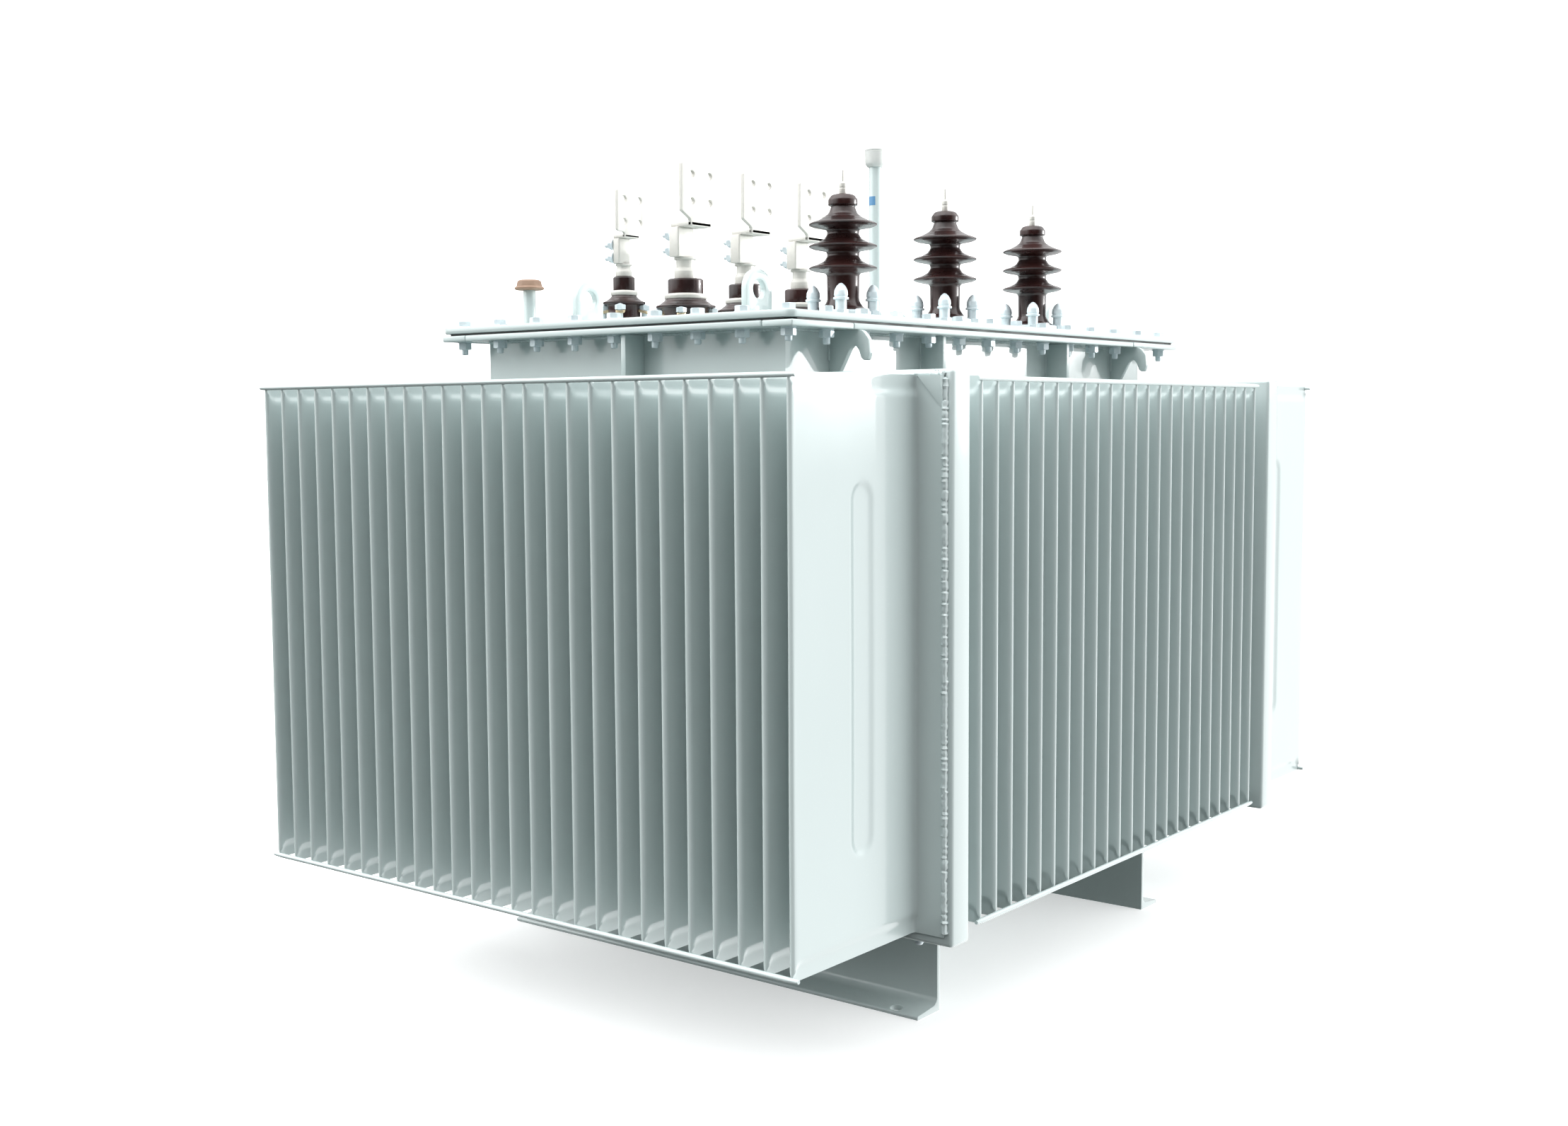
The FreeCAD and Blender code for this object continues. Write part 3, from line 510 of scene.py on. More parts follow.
# %% Place the camera
STAND = (1.9484, -2.6603, 0.9532)
HEADING, TILT, ROLL = 38.087, -4.719, -0.342
FOCAL_LENGTH, SENSOR = 39.67, 36
heading, tilt, roll = (math.radians(angle) for angle in (HEADING, TILT, ROLL))
ahead = Vector((-math.sin(heading) * math.cos(tilt), math.cos(heading) * math.cos(tilt), math.sin(tilt)))
across = Vector((math.cos(heading), math.sin(heading), 0))
above = across.cross(ahead)
right = math.cos(roll) * across + math.sin(roll) * above
top = math.cos(roll) * above - math.sin(roll) * across
camera = bpy.data.objects.new("camera", bpy.data.cameras.new("camera"))
turned = Matrix((right, top, -ahead)).transposed().to_4x4()
camera.matrix_world = Matrix.Translation(STAND) @ turned
camera.data.sensor_width = SENSOR
camera.data.lens = FOCAL_LENGTH
scene.collection.objects.link(camera)
scene.camera = camera
print("camera at", [round(value, 2) for value in camera.location])

# %% [markdown]
# ## Floor and backdrop
# A pale floor and a white backdrop are all that stands round the transformer. Only the camera sees them. They
# throw no light on the paint and don't show in it, so that the light can be set by itself. Both glow a
# little, as a cloth does under lamps of its own, and the glow hides the line where they meet.

# %% Lay the floor and hang the backdrop
FLOOR_REACH = 150.0
BACKDROP_RADIUS, BACKDROP_TALL, BACKDROP_SIDES = 60, 60, 48


def stage_cloth(name, points, faces, shade, shine):
    """A surface of the studio that the camera sees and the object doesn't."""
    cloth = bpy.data.meshes.new(name)
    cloth.from_pydata(points, [], faces)
    finish = Finish(name)
    mottle = finish.blend(finish.cloud(1.5, 4), (shade - 0.01,) * 3, (shade,) * 3)
    rough = 0.8 + finish.cloud(5, 2) * 0.1
    glowing = dict(Emission_Color=mottle, Emission_Strength=shine)
    cloth.materials.append(finish.coat(Base_Color=mottle, Roughness=rough, **glowing))
    thing = bpy.data.objects.new(name, cloth)
    scene.collection.objects.link(thing)
    thing.visible_diffuse = False
    thing.visible_glossy = False
    thing.visible_shadow = False


corners = [(x * FLOOR_REACH, y * FLOOR_REACH, 0) for x, y in ((-1, -1), (1, -1), (1, 1), (-1, 1))]
stage_cloth("pale_floor", corners, [(0, 1, 2, 3)], 0.88, 0.45)
sides = BACKDROP_SIDES
around = [math.tau * step / sides for step in range(sides)]
rims = [(BACKDROP_RADIUS * math.cos(t), BACKDROP_RADIUS * math.sin(t)) for t in around]
points = [(x, y, z) for z in (-1, BACKDROP_TALL) for x, y in rims]
faces = [(k, (k + 1) % sides, sides + (k + 1) % sides, sides + k) for k in range(sides)]
stage_cloth("backdrop", points, faces, 0.9, 1.2)
print("floor and backdrop hang")

# %% [markdown]
# ## Soft light
# A glossy object is shown by what it reflects, so most of the light is in the world itself. It is a sum of
# round soft lights: a low ring, a high ring, one overhead and a narrow glow near the horizon. Their strengths
# differ from side to side, so that each way of facing gets a tone of its own. Under the horizon one broad
# light stands for what a floor throws back.

# %% Light the room
LOW, HIGH, OVERHEAD = 12, 52, 90
SOFT_LIGHTS = [
    (45, LOW, 1.7),
    (90, LOW, 0.6),
    (135, LOW, 0.6),
    (180, LOW, 0.6),
    (225, LOW, 1.9),
    (45, HIGH, 1.3),
    (135, HIGH, 0.3),
    (225, HIGH, 2.6),
    (315, HIGH, 1.2),
    (0, OVERHEAD, 1.5),
]
SOFT_CORE, SOFT_REACH = 8, 50
GLOW_TURN, GLOW_LIFT, GLOW_CORE, GLOW_REACH, GLOW_STRENGTH = 58, 6, 5, 9, 0.35
BOUNCE_TURN, BOUNCE_LIFT, BOUNCE_CORE, BOUNCE_REACH, BOUNCE_STRENGTH = 60, -30, 10, 80, 2.0
HORIZON = (-0.05, 0.01)
COOL_WHITE = (0.985, 1.0, 1.0, 1.0)

room = Finish("studio", bpy.data.worlds.new("studio"))
direction = room.node("TexCoord", output="Generated")


def aimed(turn, lift):
    """Unit vector from an angle round the vertical and a height over the horizon, in degrees."""
    turn, lift = math.radians(turn), math.radians(lift)
    return Vector((math.cos(lift) * math.cos(turn), math.cos(lift) * math.sin(turn), math.sin(lift)))


def soft_light(turn, lift, core, reach, strength):
    """A round light in the world, full within core degrees of its middle and dark beyond reach."""
    inputs = {0: direction, 1: aimed(turn, lift)}
    toward = room.node("VectorMath", {"operation": "DOT_PRODUCT"}, inputs, "Value")
    return room.step(toward, math.cos(math.radians(reach)), math.cos(math.radians(core))) * strength


brightness = soft_light(GLOW_TURN, GLOW_LIFT, GLOW_CORE, GLOW_REACH, GLOW_STRENGTH)
for turn, lift, strength in SOFT_LIGHTS:
    brightness = soft_light(turn, lift, SOFT_CORE, SOFT_REACH, strength) + brightness
bounce = soft_light(BOUNCE_TURN, BOUNCE_LIFT, BOUNCE_CORE, BOUNCE_REACH, BOUNCE_STRENGTH)
above_floor = room.step(room.node("SeparateXYZ", {}, {0: direction}, "Z"), *HORIZON)
total = brightness * above_floor + bounce * (1 - above_floor)
glow = room.node("Background", {}, {"Color": COOL_WHITE, "Strength": total}, "Background")
room.node("OutputWorld", {}, {"Surface": glow}, None)
scene.world = room.owner
scene.view_settings.view_transform = "Standard"
scene.view_settings.look = "None"
print("soft lights:", len(SOFT_LIGHTS) + 2)

# %% [markdown]
# ## Two lamps
# The low sun is a spot lamp far off. Its cone is tilted up until its lower edge passes just over the header
# box, as a wall would cut the sun off. So it lights only the neck and what stands over it, and the hooks,
# ribs and bolts cast their shadows there. The window shows only as a highlight in glossy paint.

# %% Set up the lamps
SUN_TURN, SUN_LIFT, SUN_AWAY = 60, 6, 10
SUN_CONE, SUN_SIZE, SUN_POWER = 80, 0.12, 2600
SHADE_EDGE = Vector((0.62, -0.2, 1.022))
WINDOW_PLACE, WINDOW_FACES = Vector((5.4, 5.5, 1.66)), Vector((0.6, -0.7, 1.0))
WINDOW_WIDE, WINDOW_TALL, WINDOW_POWER = 2.2, 1.5, 5

sunward = aimed(SUN_TURN, SUN_LIFT)
sun = bpy.data.lights.new("low_sun", "SPOT")
sun.energy = SUN_POWER
sun.spot_size = math.radians(SUN_CONE)
sun.spot_blend = 0.01
sun.shadow_soft_size = SUN_SIZE
lamp = bpy.data.objects.new("low_sun", sun)
lamp.location = SHADE_EDGE + sunward * SUN_AWAY
hinge = (-sunward).cross(Vector((0, 0, 1))).normalized()
middle = Matrix.Rotation(math.radians(SUN_CONE / 2), 3, hinge) @ (-sunward)
lamp.rotation_euler = middle.to_track_quat("-Z", "Y").to_euler()
scene.collection.objects.link(lamp)

window = bpy.data.lights.new("window", "AREA")
window.shape = "RECTANGLE"
window.size = WINDOW_WIDE
window.size_y = WINDOW_TALL
window.energy = WINDOW_POWER
pane = bpy.data.objects.new("window", window)
pane.location = WINDOW_PLACE
pane.rotation_euler = (WINDOW_FACES - WINDOW_PLACE).to_track_quat("-Z", "Z").to_euler()
pane.visible_diffuse = False
pane.visible_camera = False
scene.collection.objects.link(pane)
print("lamps:", lamp.name, "and", pane.name)

# %% [markdown]
# ## Corrugated walls
# Each wall is one long sheet, folded into hollow fins and pressed flat where their ends are welded shut.
# A fin as a box would miss all that gives it away: the rounded nose, the small root fillet, the flat seam at
# the ends with a soft shoulder above it. So the wall is swept upwards as one outline. Its fins get thinner
# near both ends, and the thin sheet waves a little. The outermost fins also have a long pressed dimple.

# %% Sizes of the folded sheet
SHEET = 3.0
BODY = 4.5
SEAM = 1.0
ROOT = 5.0
SEAM_HEIGHT = 17.0
SHOULDER = 15.0
NOSE_BLEND = 15.0
DIMPLE_DEPTH = 3.0
DIMPLE_BACK = 134.0
DIMPLE_RADIUS = 28.0
DIMPLE_ENDS = (371.0, 844.0)


def ease(value):
    """Smooth step from 0 to 1."""
    value = min(max(value, 0.0), 1.0)
    return value * value * (3 - 2 * value)


def fin_half(to_nose, to_end):
    """Half thickness of a fin at a distance from its nose and from the nearer end."""
    blunt = ease(to_nose / NOSE_BLEND)
    seam = SEAM_HEIGHT * (0.35 + 0.65 * blunt)
    shoulder = SHOULDER * (0.6 + 0.4 * blunt)
    return SEAM + (BODY - SEAM) * ease((to_end - seam) / shoulder)


def dimple(back, z):
    """Depth of the pressed dimple of an outermost fin."""
    near = min(max(z, DIMPLE_ENDS[0]), DIMPLE_ENDS[1])
    outside = math.hypot(back - DIMPLE_BACK, z - near) - DIMPLE_RADIUS
    return DIMPLE_DEPTH * ease(-outside / 11.0)


print("fin half thickness at its seam and in its middle:", fin_half(50, 5), fin_half(50, 200))


# %% Fold a wall
def wall_levels(low, high):
    """Heights of the rows of points, close together where the shape changes."""
    ends = [0, 3, 6, 9, 12, 15, 17, 19.5, 22, 25, 28, 31, 34, 40, 52, 75, 105]
    rows = {low + step for step in ends} | {high - step for step in ends}
    for end, sign in ((DIMPLE_ENDS[0], -1), (DIMPLE_ENDS[1], 1)):
        rows |= {end + sign * step for step in (-8, 0, 4, 8, 12, 16, 20, 24, 28, 34)}
    rows |= {low + (high - low) * step / 12 for step in range(2, 11)}
    return sorted(rows)


def folded_wall(name, node, count, pitch, depth, half_width, lay):
    """The wall in its own frame: a along it, b outwards from the tank and z up."""
    low, high = box(node)[0].z, box(node)[1].z
    tip = SHEET + depth
    plain = [SHEET + 70, SHEET + 150, tip - 60, tip - 30, tip - 18, tip - 12, tip - 8]
    fine = [SHEET + DIMPLE_BACK + step for step in range(-40, 41, 4)]
    rings = []
    for z in wall_levels(low, high):
        to_end = min(z - low, high - z)
        ring = [lay(-half_width, 0, z), lay(-half_width, SHEET, z)]
        for fin in range(count):
            middle = (fin - (count - 1) / 2) * pitch
            sway = 0.5 * noise.noise(Vector((fin * 3.7, z * 0.004, depth)))
            for side in (-1, 1):
                outer = (side < 0 and fin == 0) or (side > 0 and fin == count - 1)
                backs = sorted(set(fine + plain)) if outer else plain
                face = []
                root = fin_half(tip, to_end)
                for step in range(4):
                    angle = math.pi / 2 * step / 3
                    face.append((root + ROOT * (1 - math.sin(angle)), SHEET + ROOT * (1 - math.cos(angle))))
                for back in backs:
                    half = fin_half(tip - back, to_end)
                    wave = 0.6 * ease(to_end / 60) * noise.noise(Vector((fin * 5.1, back * 0.011, z * 0.006)))
                    face.append((half + (wave - dimple(back - SHEET, z) if outer else wave * 0.5), back))
                if side > 0:
                    face.reverse()
                    nose = fin_half(0, to_end)
                    for step in range(7):
                        angle = math.pi * (step / 6 - 0.5)
                        ahead_of = tip - nose + nose * math.cos(angle)
                        ring.append(lay(middle + sway + nose * math.sin(angle), ahead_of, z))
                ring += [lay(middle + sway + side * out, back, z) for out, back in face]
        ring += [lay(half_width, SHEET, z), lay(half_width, 0, z)]
        rings.append(ring)
    bench = Bench()
    bench.sweep(rings)
    return bench.finish(name, tank_paint, "tank_paint", [node])


tank_low, tank_high = box("tank_body")
end_half = box("fin_wall_front")[1].x
side_half = box("fin_wall_right")[1].y
END_FINS = dict(count=26, pitch=45.0, depth=294.0, half_width=end_half)
SIDE_FINS = dict(count=23, pitch=44.8, depth=289.0, half_width=side_half)


def to_front(a, b, z):
    return a, tank_low.y - b, z


def to_rear(a, b, z):
    return -a, tank_high.y + b, z


def to_right(a, b, z):
    return tank_high.x + b, a, z


def to_left(a, b, z):
    return tank_low.x - b, -a, z


folded_wall("folded_front", "fin_wall_front", lay=to_front, **END_FINS)
folded_wall("folded_rear", "fin_wall_rear", lay=to_rear, **END_FINS)
folded_wall("folded_right", "fin_wall_right", lay=to_right, **SIDE_FINS)
folded_wall("folded_left", "fin_wall_left", lay=to_left, **SIDE_FINS)

# %% [markdown]
# ## Tie bars
# Two round bars run across the tips of each row of fins and keep them apart. They are welded to each fin, so
# a small blob sits at every crossing, and they are never quite straight.


# %% Weld on the tie bars
BAR_RADIUS, BAR_OVERHANG, BAR_STEPS = 4.0, 8, 60


def tie_bars(name, node, rows, fins):
    """Bars for two opposite walls; rows gives each wall's way of laying out (a, b, z)."""
    bench = Bench()
    low, high = box(node)[0].z + BAR_RADIUS, box(node)[1].z - BAR_RADIUS
    reach = (fins["count"] - 1) / 2 * fins["pitch"]
    tip = SHEET + fins["depth"]
    for row, lay in enumerate(rows):
        for z in (low, high):
            rings = []
            end = reach + BODY + BAR_OVERHANG
            for step in range(BAR_STEPS + 1):
                a = -end + 2 * end * step / BAR_STEPS
                bow = tip - 0.5 + 0.35 * noise.noise(Vector((a * 0.01, row, z)))
                radius = BAR_RADIUS if 0 < step < BAR_STEPS else BAR_RADIUS - 1
                around = [math.tau * spot / 12 for spot in range(12)]
                rings.append([lay(a, bow + radius * math.cos(t), z + radius * math.sin(t)) for t in around])
            bench.sweep(rings)
            for fin in range(fins["count"]):
                middle = -reach + fin * fins["pitch"]
                size = 2.3 + 0.8 * noise.noise(Vector((fin * 1.7, row, z)))
                under = z + (3.6 if z == low else -3.6)
                bench.blob(lay(middle, tip - 2.4, under), size, 0.2, 0.6, 8)
    return bench.finish(name, plate_paint, "tank_paint", [node])


END_ROWS = (to_front, lambda a, b, z: (a, tank_high.y + b, z))
SIDE_ROWS = (to_right, lambda a, b, z: (tank_low.x - b, a, z))
tie_bars("end_bars", "end_tie_bars", END_ROWS, END_FINS)
tie_bars("side_bars", "side_tie_bars", SIDE_ROWS, SIDE_FINS)

# %% [markdown]
# ## Headers and their welds
# The end sheets are wider than the tank and close a flat box on each side of it. The boxes are bent from
# plate, so their edges are round. The sheet is welded on with a visible bead down its edge and a rougher one
# along the top, where the welder turned the corner and left spatter.

# %% Bend the headers
HEADER_BEND = 6
for end in ("front", "rear"):
    bench = Bench()
    low, high = box(f"header_{end}")
    for inner, outer in ((low.x, tank_low.x), (tank_high.x, high.x)):
        bench.block((inner, low.y, low.z), (outer, high.y, high.z), HEADER_BEND, 4)
    bench.finish(f"header_box_{end}", tank_paint, "tank_paint", [f"header_{end}"])

# %% Run the beads round the end sheets
HEAVY_BEAD, TOP_BEAD, THIN_BEAD = 4.9, 4.2, 2.2
CORNER_RUN, NECK_CORNER = 48, 332
DROPS, DROP_SPREAD = 26, 38
sheet_low, sheet_high = (corner.z for corner in box("fin_wall_front"))
for end, sign in (("front", -1), ("rear", 1)):
    bench = Bench()
    face = sign * (tank_high.y + 2.0)
    top = sheet_high + 1
    for hand in (-1, 1):
        edge = hand * (end_half + 0.8)
        turned_at = hand * (end_half - CORNER_RUN)
        seed = 10 + hand + sign
        bench.bead([(edge, face, sheet_low + 4), (edge, face, sheet_high - 4)], HEAVY_BEAD, seed, 8)
        bench.bead([(turned_at, face, top + 0.5), (edge, face, top)], TOP_BEAD, seed + 5, 6)
        bench.bead([(hand * NECK_CORNER, face, top), (turned_at, face, top)], THIN_BEAD, seed + 9)
        chance = random.Random(seed)
        for drop in range(DROPS):
            x = edge - hand * abs(chance.gauss(0, DROP_SPREAD))
            spot = (x, face - sign * 1.2, sheet_high + chance.uniform(-1, 7))
            bench.blob(spot, chance.uniform(0.8, 2.0), 0.1, 0.5, 7)
    bench.finish(f"sheet_welds_{end}", weld_highlight_paint, "tank_paint")

# %% Fold the gussets
GUSSET_WIDE, GUSSET_LEAN = 43.0, 11.0
bench = Bench()
low, high = box("corner_gussets")
for end in (-1, 1):
    for hand in (-1, 1):
        near, far = hand * (high.x - GUSSET_WIDE), hand * high.x
        face = end * (tank_high.y + SHEET)
        flat = [(near, high.z - 1), (far, low.z), (far, high.z - 1)]
        back = [(x, face - end * 2.5, z) for x, z in flat]
        leans = (GUSSET_LEAN * 0.4, 0.6, GUSSET_LEAN)
        front = [(x, face + end * lean, z) for (x, z), lean in zip(flat, leans)]
        bench.sweep([back, front])
bench.finish("gusset_plates", plate_paint, "tank_paint", ["corner_gussets"])

# %% [markdown]
# ## Neck, floor and flange
# Between the fins and the cover the plain tank shows as a neck. Its shape is right in the frame, so it only
# takes the paint, and the gasket takes its rubber. The flange round it is made of flat bars that meet in butt
# joints. A hair-wide slit at each joint tells that it isn't one plate.

# %% Paint the nodes that keep their shape
for name, coat in (("tank_body", tank_paint), ("tank_floor", tank_paint), ("cover_gasket", rubber)):
    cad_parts[name].data.materials.clear()
    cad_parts[name].data.materials.append(coat)
    print(name, "takes", coat.name)

# %% Cut the flange bars
JOINTS = (-486.7, 450.9)
SLIT, BAR_EDGE = 1.0, 2.2
low, high = box("tank_flange")
bench = Bench()
for inner, outer in ((low.x, tank_low.x), (tank_high.x, high.x)):
    stops = (low.y, *JOINTS, high.y) if inner > 0 else (low.y, -JOINTS[1], -JOINTS[0], high.y)
    for start, end in zip(stops, stops[1:]):
        bench.block((inner, start + SLIT / 2, low.z), (outer, end - SLIT / 2, high.z), BAR_EDGE, 3)
for inner, outer in ((low.y, tank_low.y), (tank_high.y, high.y)):
    bench.block((tank_low.x + SLIT, inner, low.z), (tank_high.x - SLIT, outer, high.z), BAR_EDGE, 3)
bench.finish("flange_bars", plate_paint, "tank_paint", ["tank_flange"])

# %% Run the beads of the neck
bench = Bench()
corners = [(-1, -1), (1, -1), (1, 1), (-1, 1), (-1, -1)]
for number, (start, end) in enumerate(zip(corners, corners[1:])):
    path = [(x * (tank_high.x + 0.5), y * (tank_high.y + 0.5), low.z - 0.5) for x, y in (start, end)]
    bench.bead(path, 3.0, 40 + number, 6)
bench.finish("neck_welds", weld_highlight_paint, "tank_paint")

# %% [markdown]
# ## Cover
# The cover is one flat plate with its edges taken off by a grinder. It overlaps the gasket slightly, so only
# a thin black line shows between cover and flange.

# %% Cut the cover
SQUEEZE, CORNER, COVER_EDGE = 1.8, 14, 2.4
low, high = box("cover_plate")
bench = Bench()
corners = [(low.x, low.y), (high.x, low.y), (high.x, high.y), (low.x, high.y)]
outline = rounded([(x, y, CORNER) for x, y in corners])
lay = lambda a, b, c: (a, b, low.z - SQUEEZE + c)
bench.slab(outline, high.z - low.z + SQUEEZE, lay, edge=COVER_EDGE)
bench.finish("cover_sheet", plate_paint, "tank_paint", ["cover_plate"])
cover_top = high.z
flange_bottom = box("tank_flange")[0].z

# %% [markdown]
# ## Cover bolts
# Forty-two bolts hold the cover, fourteen along each long side. Their heads stand on the cover, and the nuts
# and stud ends hang under the flange, each turned its own way. One nut is a hexagon whose corners are turned
# off by a cone, which a plain prism doesn't have.

# %% Tighten the cover bolts
BOLT_X, BOLT_Y = 357.0, 615.5
SIDE_BOLTS, SIDE_SPACING, END_BOLTS, END_SPACING = 14, 94.69, 7, 89.25
WASHER_TALL, HEAD_TALL, NUT_TALL = 2, 8.5, 11
along_sides = [(step - (SIDE_BOLTS - 1) / 2) * SIDE_SPACING for step in range(SIDE_BOLTS)]
along_ends = [(step - (END_BOLTS - 1) / 2) * END_SPACING for step in range(END_BOLTS)]
spots = [(side * BOLT_X, y) for side in (-1, 1) for y in along_sides]
spots += [(x, side * BOLT_Y) for side in (-1, 1) for x in along_ends]
chance = random.Random(7)
bench = Bench()
for x, y in spots:
    spin = chance.uniform(0, math.tau)
    bench.disc(12.5, WASHER_TALL, 0.6, (x, y, cover_top))
    bench.hexagon((x, y, cover_top + WASHER_TALL), 20, HEAD_TALL, spin=spin, both=False)
    bench.disc(12, WASHER_TALL, 0.6, (x, y, flange_bottom - WASHER_TALL))
    spin = chance.uniform(0, math.tau)
    bench.hexagon((x, y, flange_bottom - WASHER_TALL - NUT_TALL), 20.5, NUT_TALL, spin=spin)
    out = 9 + chance.uniform(-1.5, 2.5)
    profile = rounded([(0, -out), (5.6, -out, 2.4), (5.6, 1), (0, 1)], False, 3)
    bench.turn(profile, (x, y, flange_bottom - 12.5), steps=18)
bench.finish("cover_bolts", zinc, "zinc")

# %% [markdown]
# ## Hooks, ribs and lugs
# Hooks and ribs are flame-cut plates welded under the flange, and the lugs stand on the cover. A flame-cut
# edge is slightly round, and the notch of a hook is all curves, so the outlines are rounded before they are
# cut from plate.

# %% Cut the lifting hooks
HOOK_THICK = 10
HOOK = [
    (0, 0),
    (64, 0, 14),
    (76, 14, 10),
    (78, 36, 12),
    (74, 48, 5),
    (63, 46, 8),
    (58, 32, 14),
    (50, 22, 8),
    (41, 28, 12),
    (24, 58, 20),
    (18, 67),
    (0, 67),
]
for hand, face, sign in (("right", tank_high.x, 1), ("left", tank_low.x, -1)):
    bench = Bench()
    low, high = box(f"lifting_hooks_{hand}")
    for y in (low.y, high.y - HOOK_THICK):
        lay = lambda a, b, c: (face + sign * a, y + c, high.z - b)
        bench.slab(rounded(HOOK, steps=6), HOOK_THICK, lay, edge=1.2)
        for side in (-0.5, HOOK_THICK + 0.5):
            path = [(face + sign, y + side, high.z - 2), (face + sign, y + side, low.z + 20)]
            bench.bead(path, THIN_BEAD, 60 + sign, 6)
    bench.finish(f"hook_plates_{hand}", plate_paint, "tank_paint", [f"lifting_hooks_{hand}"])

# %% Weld on the ribs
RIB_SPACING, RIB_REACH, END_RIB = 211.0, 45.0, 33.0
bench = Bench()
low, high = box("flange_ribs")
for hand in (-1, 1):
    for along in (-1, 1):
        inner, outer = sorted((hand * tank_high.x, hand * (tank_high.x + RIB_REACH)))
        y = along * RIB_SPACING
        bench.block((inner, y - 5, low.z), (outer, y + 5, high.z), 1.4)
        root = hand * (tank_high.x + 0.5)
        for side in (-5.5, 5.5):
            path = [(root, y + side, low.z + 1), (root, y + side, high.z - 1)]
            bench.bead(path, THIN_BEAD, 70 + hand + along, 6)
    inner, outer = sorted((hand * tank_high.y, hand * (tank_high.y + RIB_REACH)))
    bench.block((END_RIB - 5, inner, low.z), (END_RIB + 5, outer, high.z), 1.4)
bench.finish("rib_plates", plate_paint, "tank_paint", ["flange_ribs"])

# %% Cut the lugs
LUG_HOLE = 16
for end in ("front", "rear"):
    for hand in ("left", "right"):
        node = f"cover_lug_{end}_{hand}"
        low, high = box(node)
        middle = (low.y + high.y) / 2
        half = (high.y - low.y) / 2
        eye = high.z - half
        around = [math.pi * step / 20 for step in range(21)]
        outline = [(middle + half * math.cos(t), eye + half * math.sin(t)) for t in around]
        outline += [(middle - half, low.z), (middle + half, low.z)]
        bench = Bench()
        lay = lambda a, b, c: (low.x + c, a, b)
        bench.slab(outline, high.x - low.x, lay, [(middle, eye, LUG_HOLE)], edge=1.5)
        for x in (low.x - 0.5, high.x + 0.5):
            bench.bead([(x, low.y - 2, low.z + 0.5), (x, high.y + 2, low.z + 0.5)], 3.2, 80, 6)
        bench.finish(f"lug_{end}_{hand}", plate_paint, "tank_paint", [node])

# %% [markdown]
# ## High-voltage bushings
# A bushing carries the line through the cover. It is turned porcelain: a flared foot, a stem with three
# sheds that throw off rain, and a waisted head. The profile is drawn once with a radius at each corner and
# spun round its axis, as a potter would do. A metal ring and four tall cap nuts hold the foot down.

# %% Throw the high-voltage porcelain
HV_SHEDS = (88, 124, 160)
profile = [(0, 0), (40.5, 0, 1.5), (40.5, 19, 3), (34, 23, 12), (26.5, 34, 16)]
for number, rim in enumerate(HV_SHEDS):
    profile += [(27, rim - 9, 7), (50, rim - 4.5, 12), (56, rim - 2, 1), (57, rim, 1.2)]
    profile += [(52, rim + 2.6, 2), (44, rim + 5, 14), (32, rim + 11, 10)]
    profile += [(24, rim + 17.5, 12), (20, rim + 28, 6)] if number == 2 else [(26.5, rim + 19, 5)]
profile += [(20.5, 189.5, 2), (24.5, 190.5, 2), (24.5, 200, 5), (19.5, 207, 6), (13, 209, 2), (0, 209)]
hv_profile = rounded(profile, closed=False, steps=5)
for phase in (1, 2, 3):
    bench = Bench()
    bench.turn(hv_profile, foot_of(f"hv_bushing_{phase}"), steps=72)
    bench.finish(f"hv_porcelain_{phase}", porcelain, "porcelain", [f"hv_bushing_{phase}"])

# %% Clamp the high-voltage bushings
CLAMP_REACH, CLAMP_TURN = 50.0, -58.0
CLAMP_RING = rounded([(41, 0), (49, 0, 1), (49, 15, 1.5), (44, 17.5, 1.5), (41, 17.5)], True, 3)
ACORN = [(0, 0), (9.5, 0), (9.5, 17), (13, 17.5, 0.8), (13, 21, 0.8), (10.5, 21.5), (11.6, 25, 2)]
ACORN += [(11, 32, 6), (7.5, 39, 8), (3, 43.5, 3), (0, 44.5)]
for phase in (1, 2, 3):
    x, y, z = foot_of(f"hv_clamp_ring_{phase}")
    bench = Bench()
    bench.hoop(CLAMP_RING, (x, y, cover_top), 64)
    for quarter in range(4):
        angle = math.radians(CLAMP_TURN + 90 * quarter)
        spot = (x + CLAMP_REACH * math.cos(angle), y + CLAMP_REACH * math.sin(angle))
        bench.hexagon((*spot, cover_top), 21, 17, spin=angle)
        bench.turn(rounded(ACORN, False, 3), (*spot, cover_top + 15.5), steps=24)
    bench.finish(f"hv_clamps_{phase}", zinc, "zinc", [f"hv_clamp_ring_{phase}"])

# %% Screw in the high-voltage studs
STUD = [(0, 0), (6.4, 0, 0.5), (6.4, 9, 1), (5.4, 10, 0.5), (6.2, 12, 1), (6.2, 18, 2)]
STUD += [(2.4, 20.5, 1), (1.8, 21), (1.8, 39.5, 0.6), (0, 40)]
for phase in (1, 2, 3):
    bench = Bench()
    bench.turn(rounded(STUD, False, 3), foot_of(f"hv_terminal_{phase}"), steps=28)
    bench.finish(f"hv_stud_{phase}", tin, "tinned_terminal", [f"hv_terminal_{phase}"])

# %% [markdown]
# ## Low-voltage bushings
# These carry thousands of amperes at a few hundred volts, so the porcelain is short and the metal heavy. The
# porcelain has a foot, a wide flare, a grey seal collar and a cap. The collar is a piece of its own, because
# its finish differs. The neutral bushing is a smaller sister, so one function makes both.


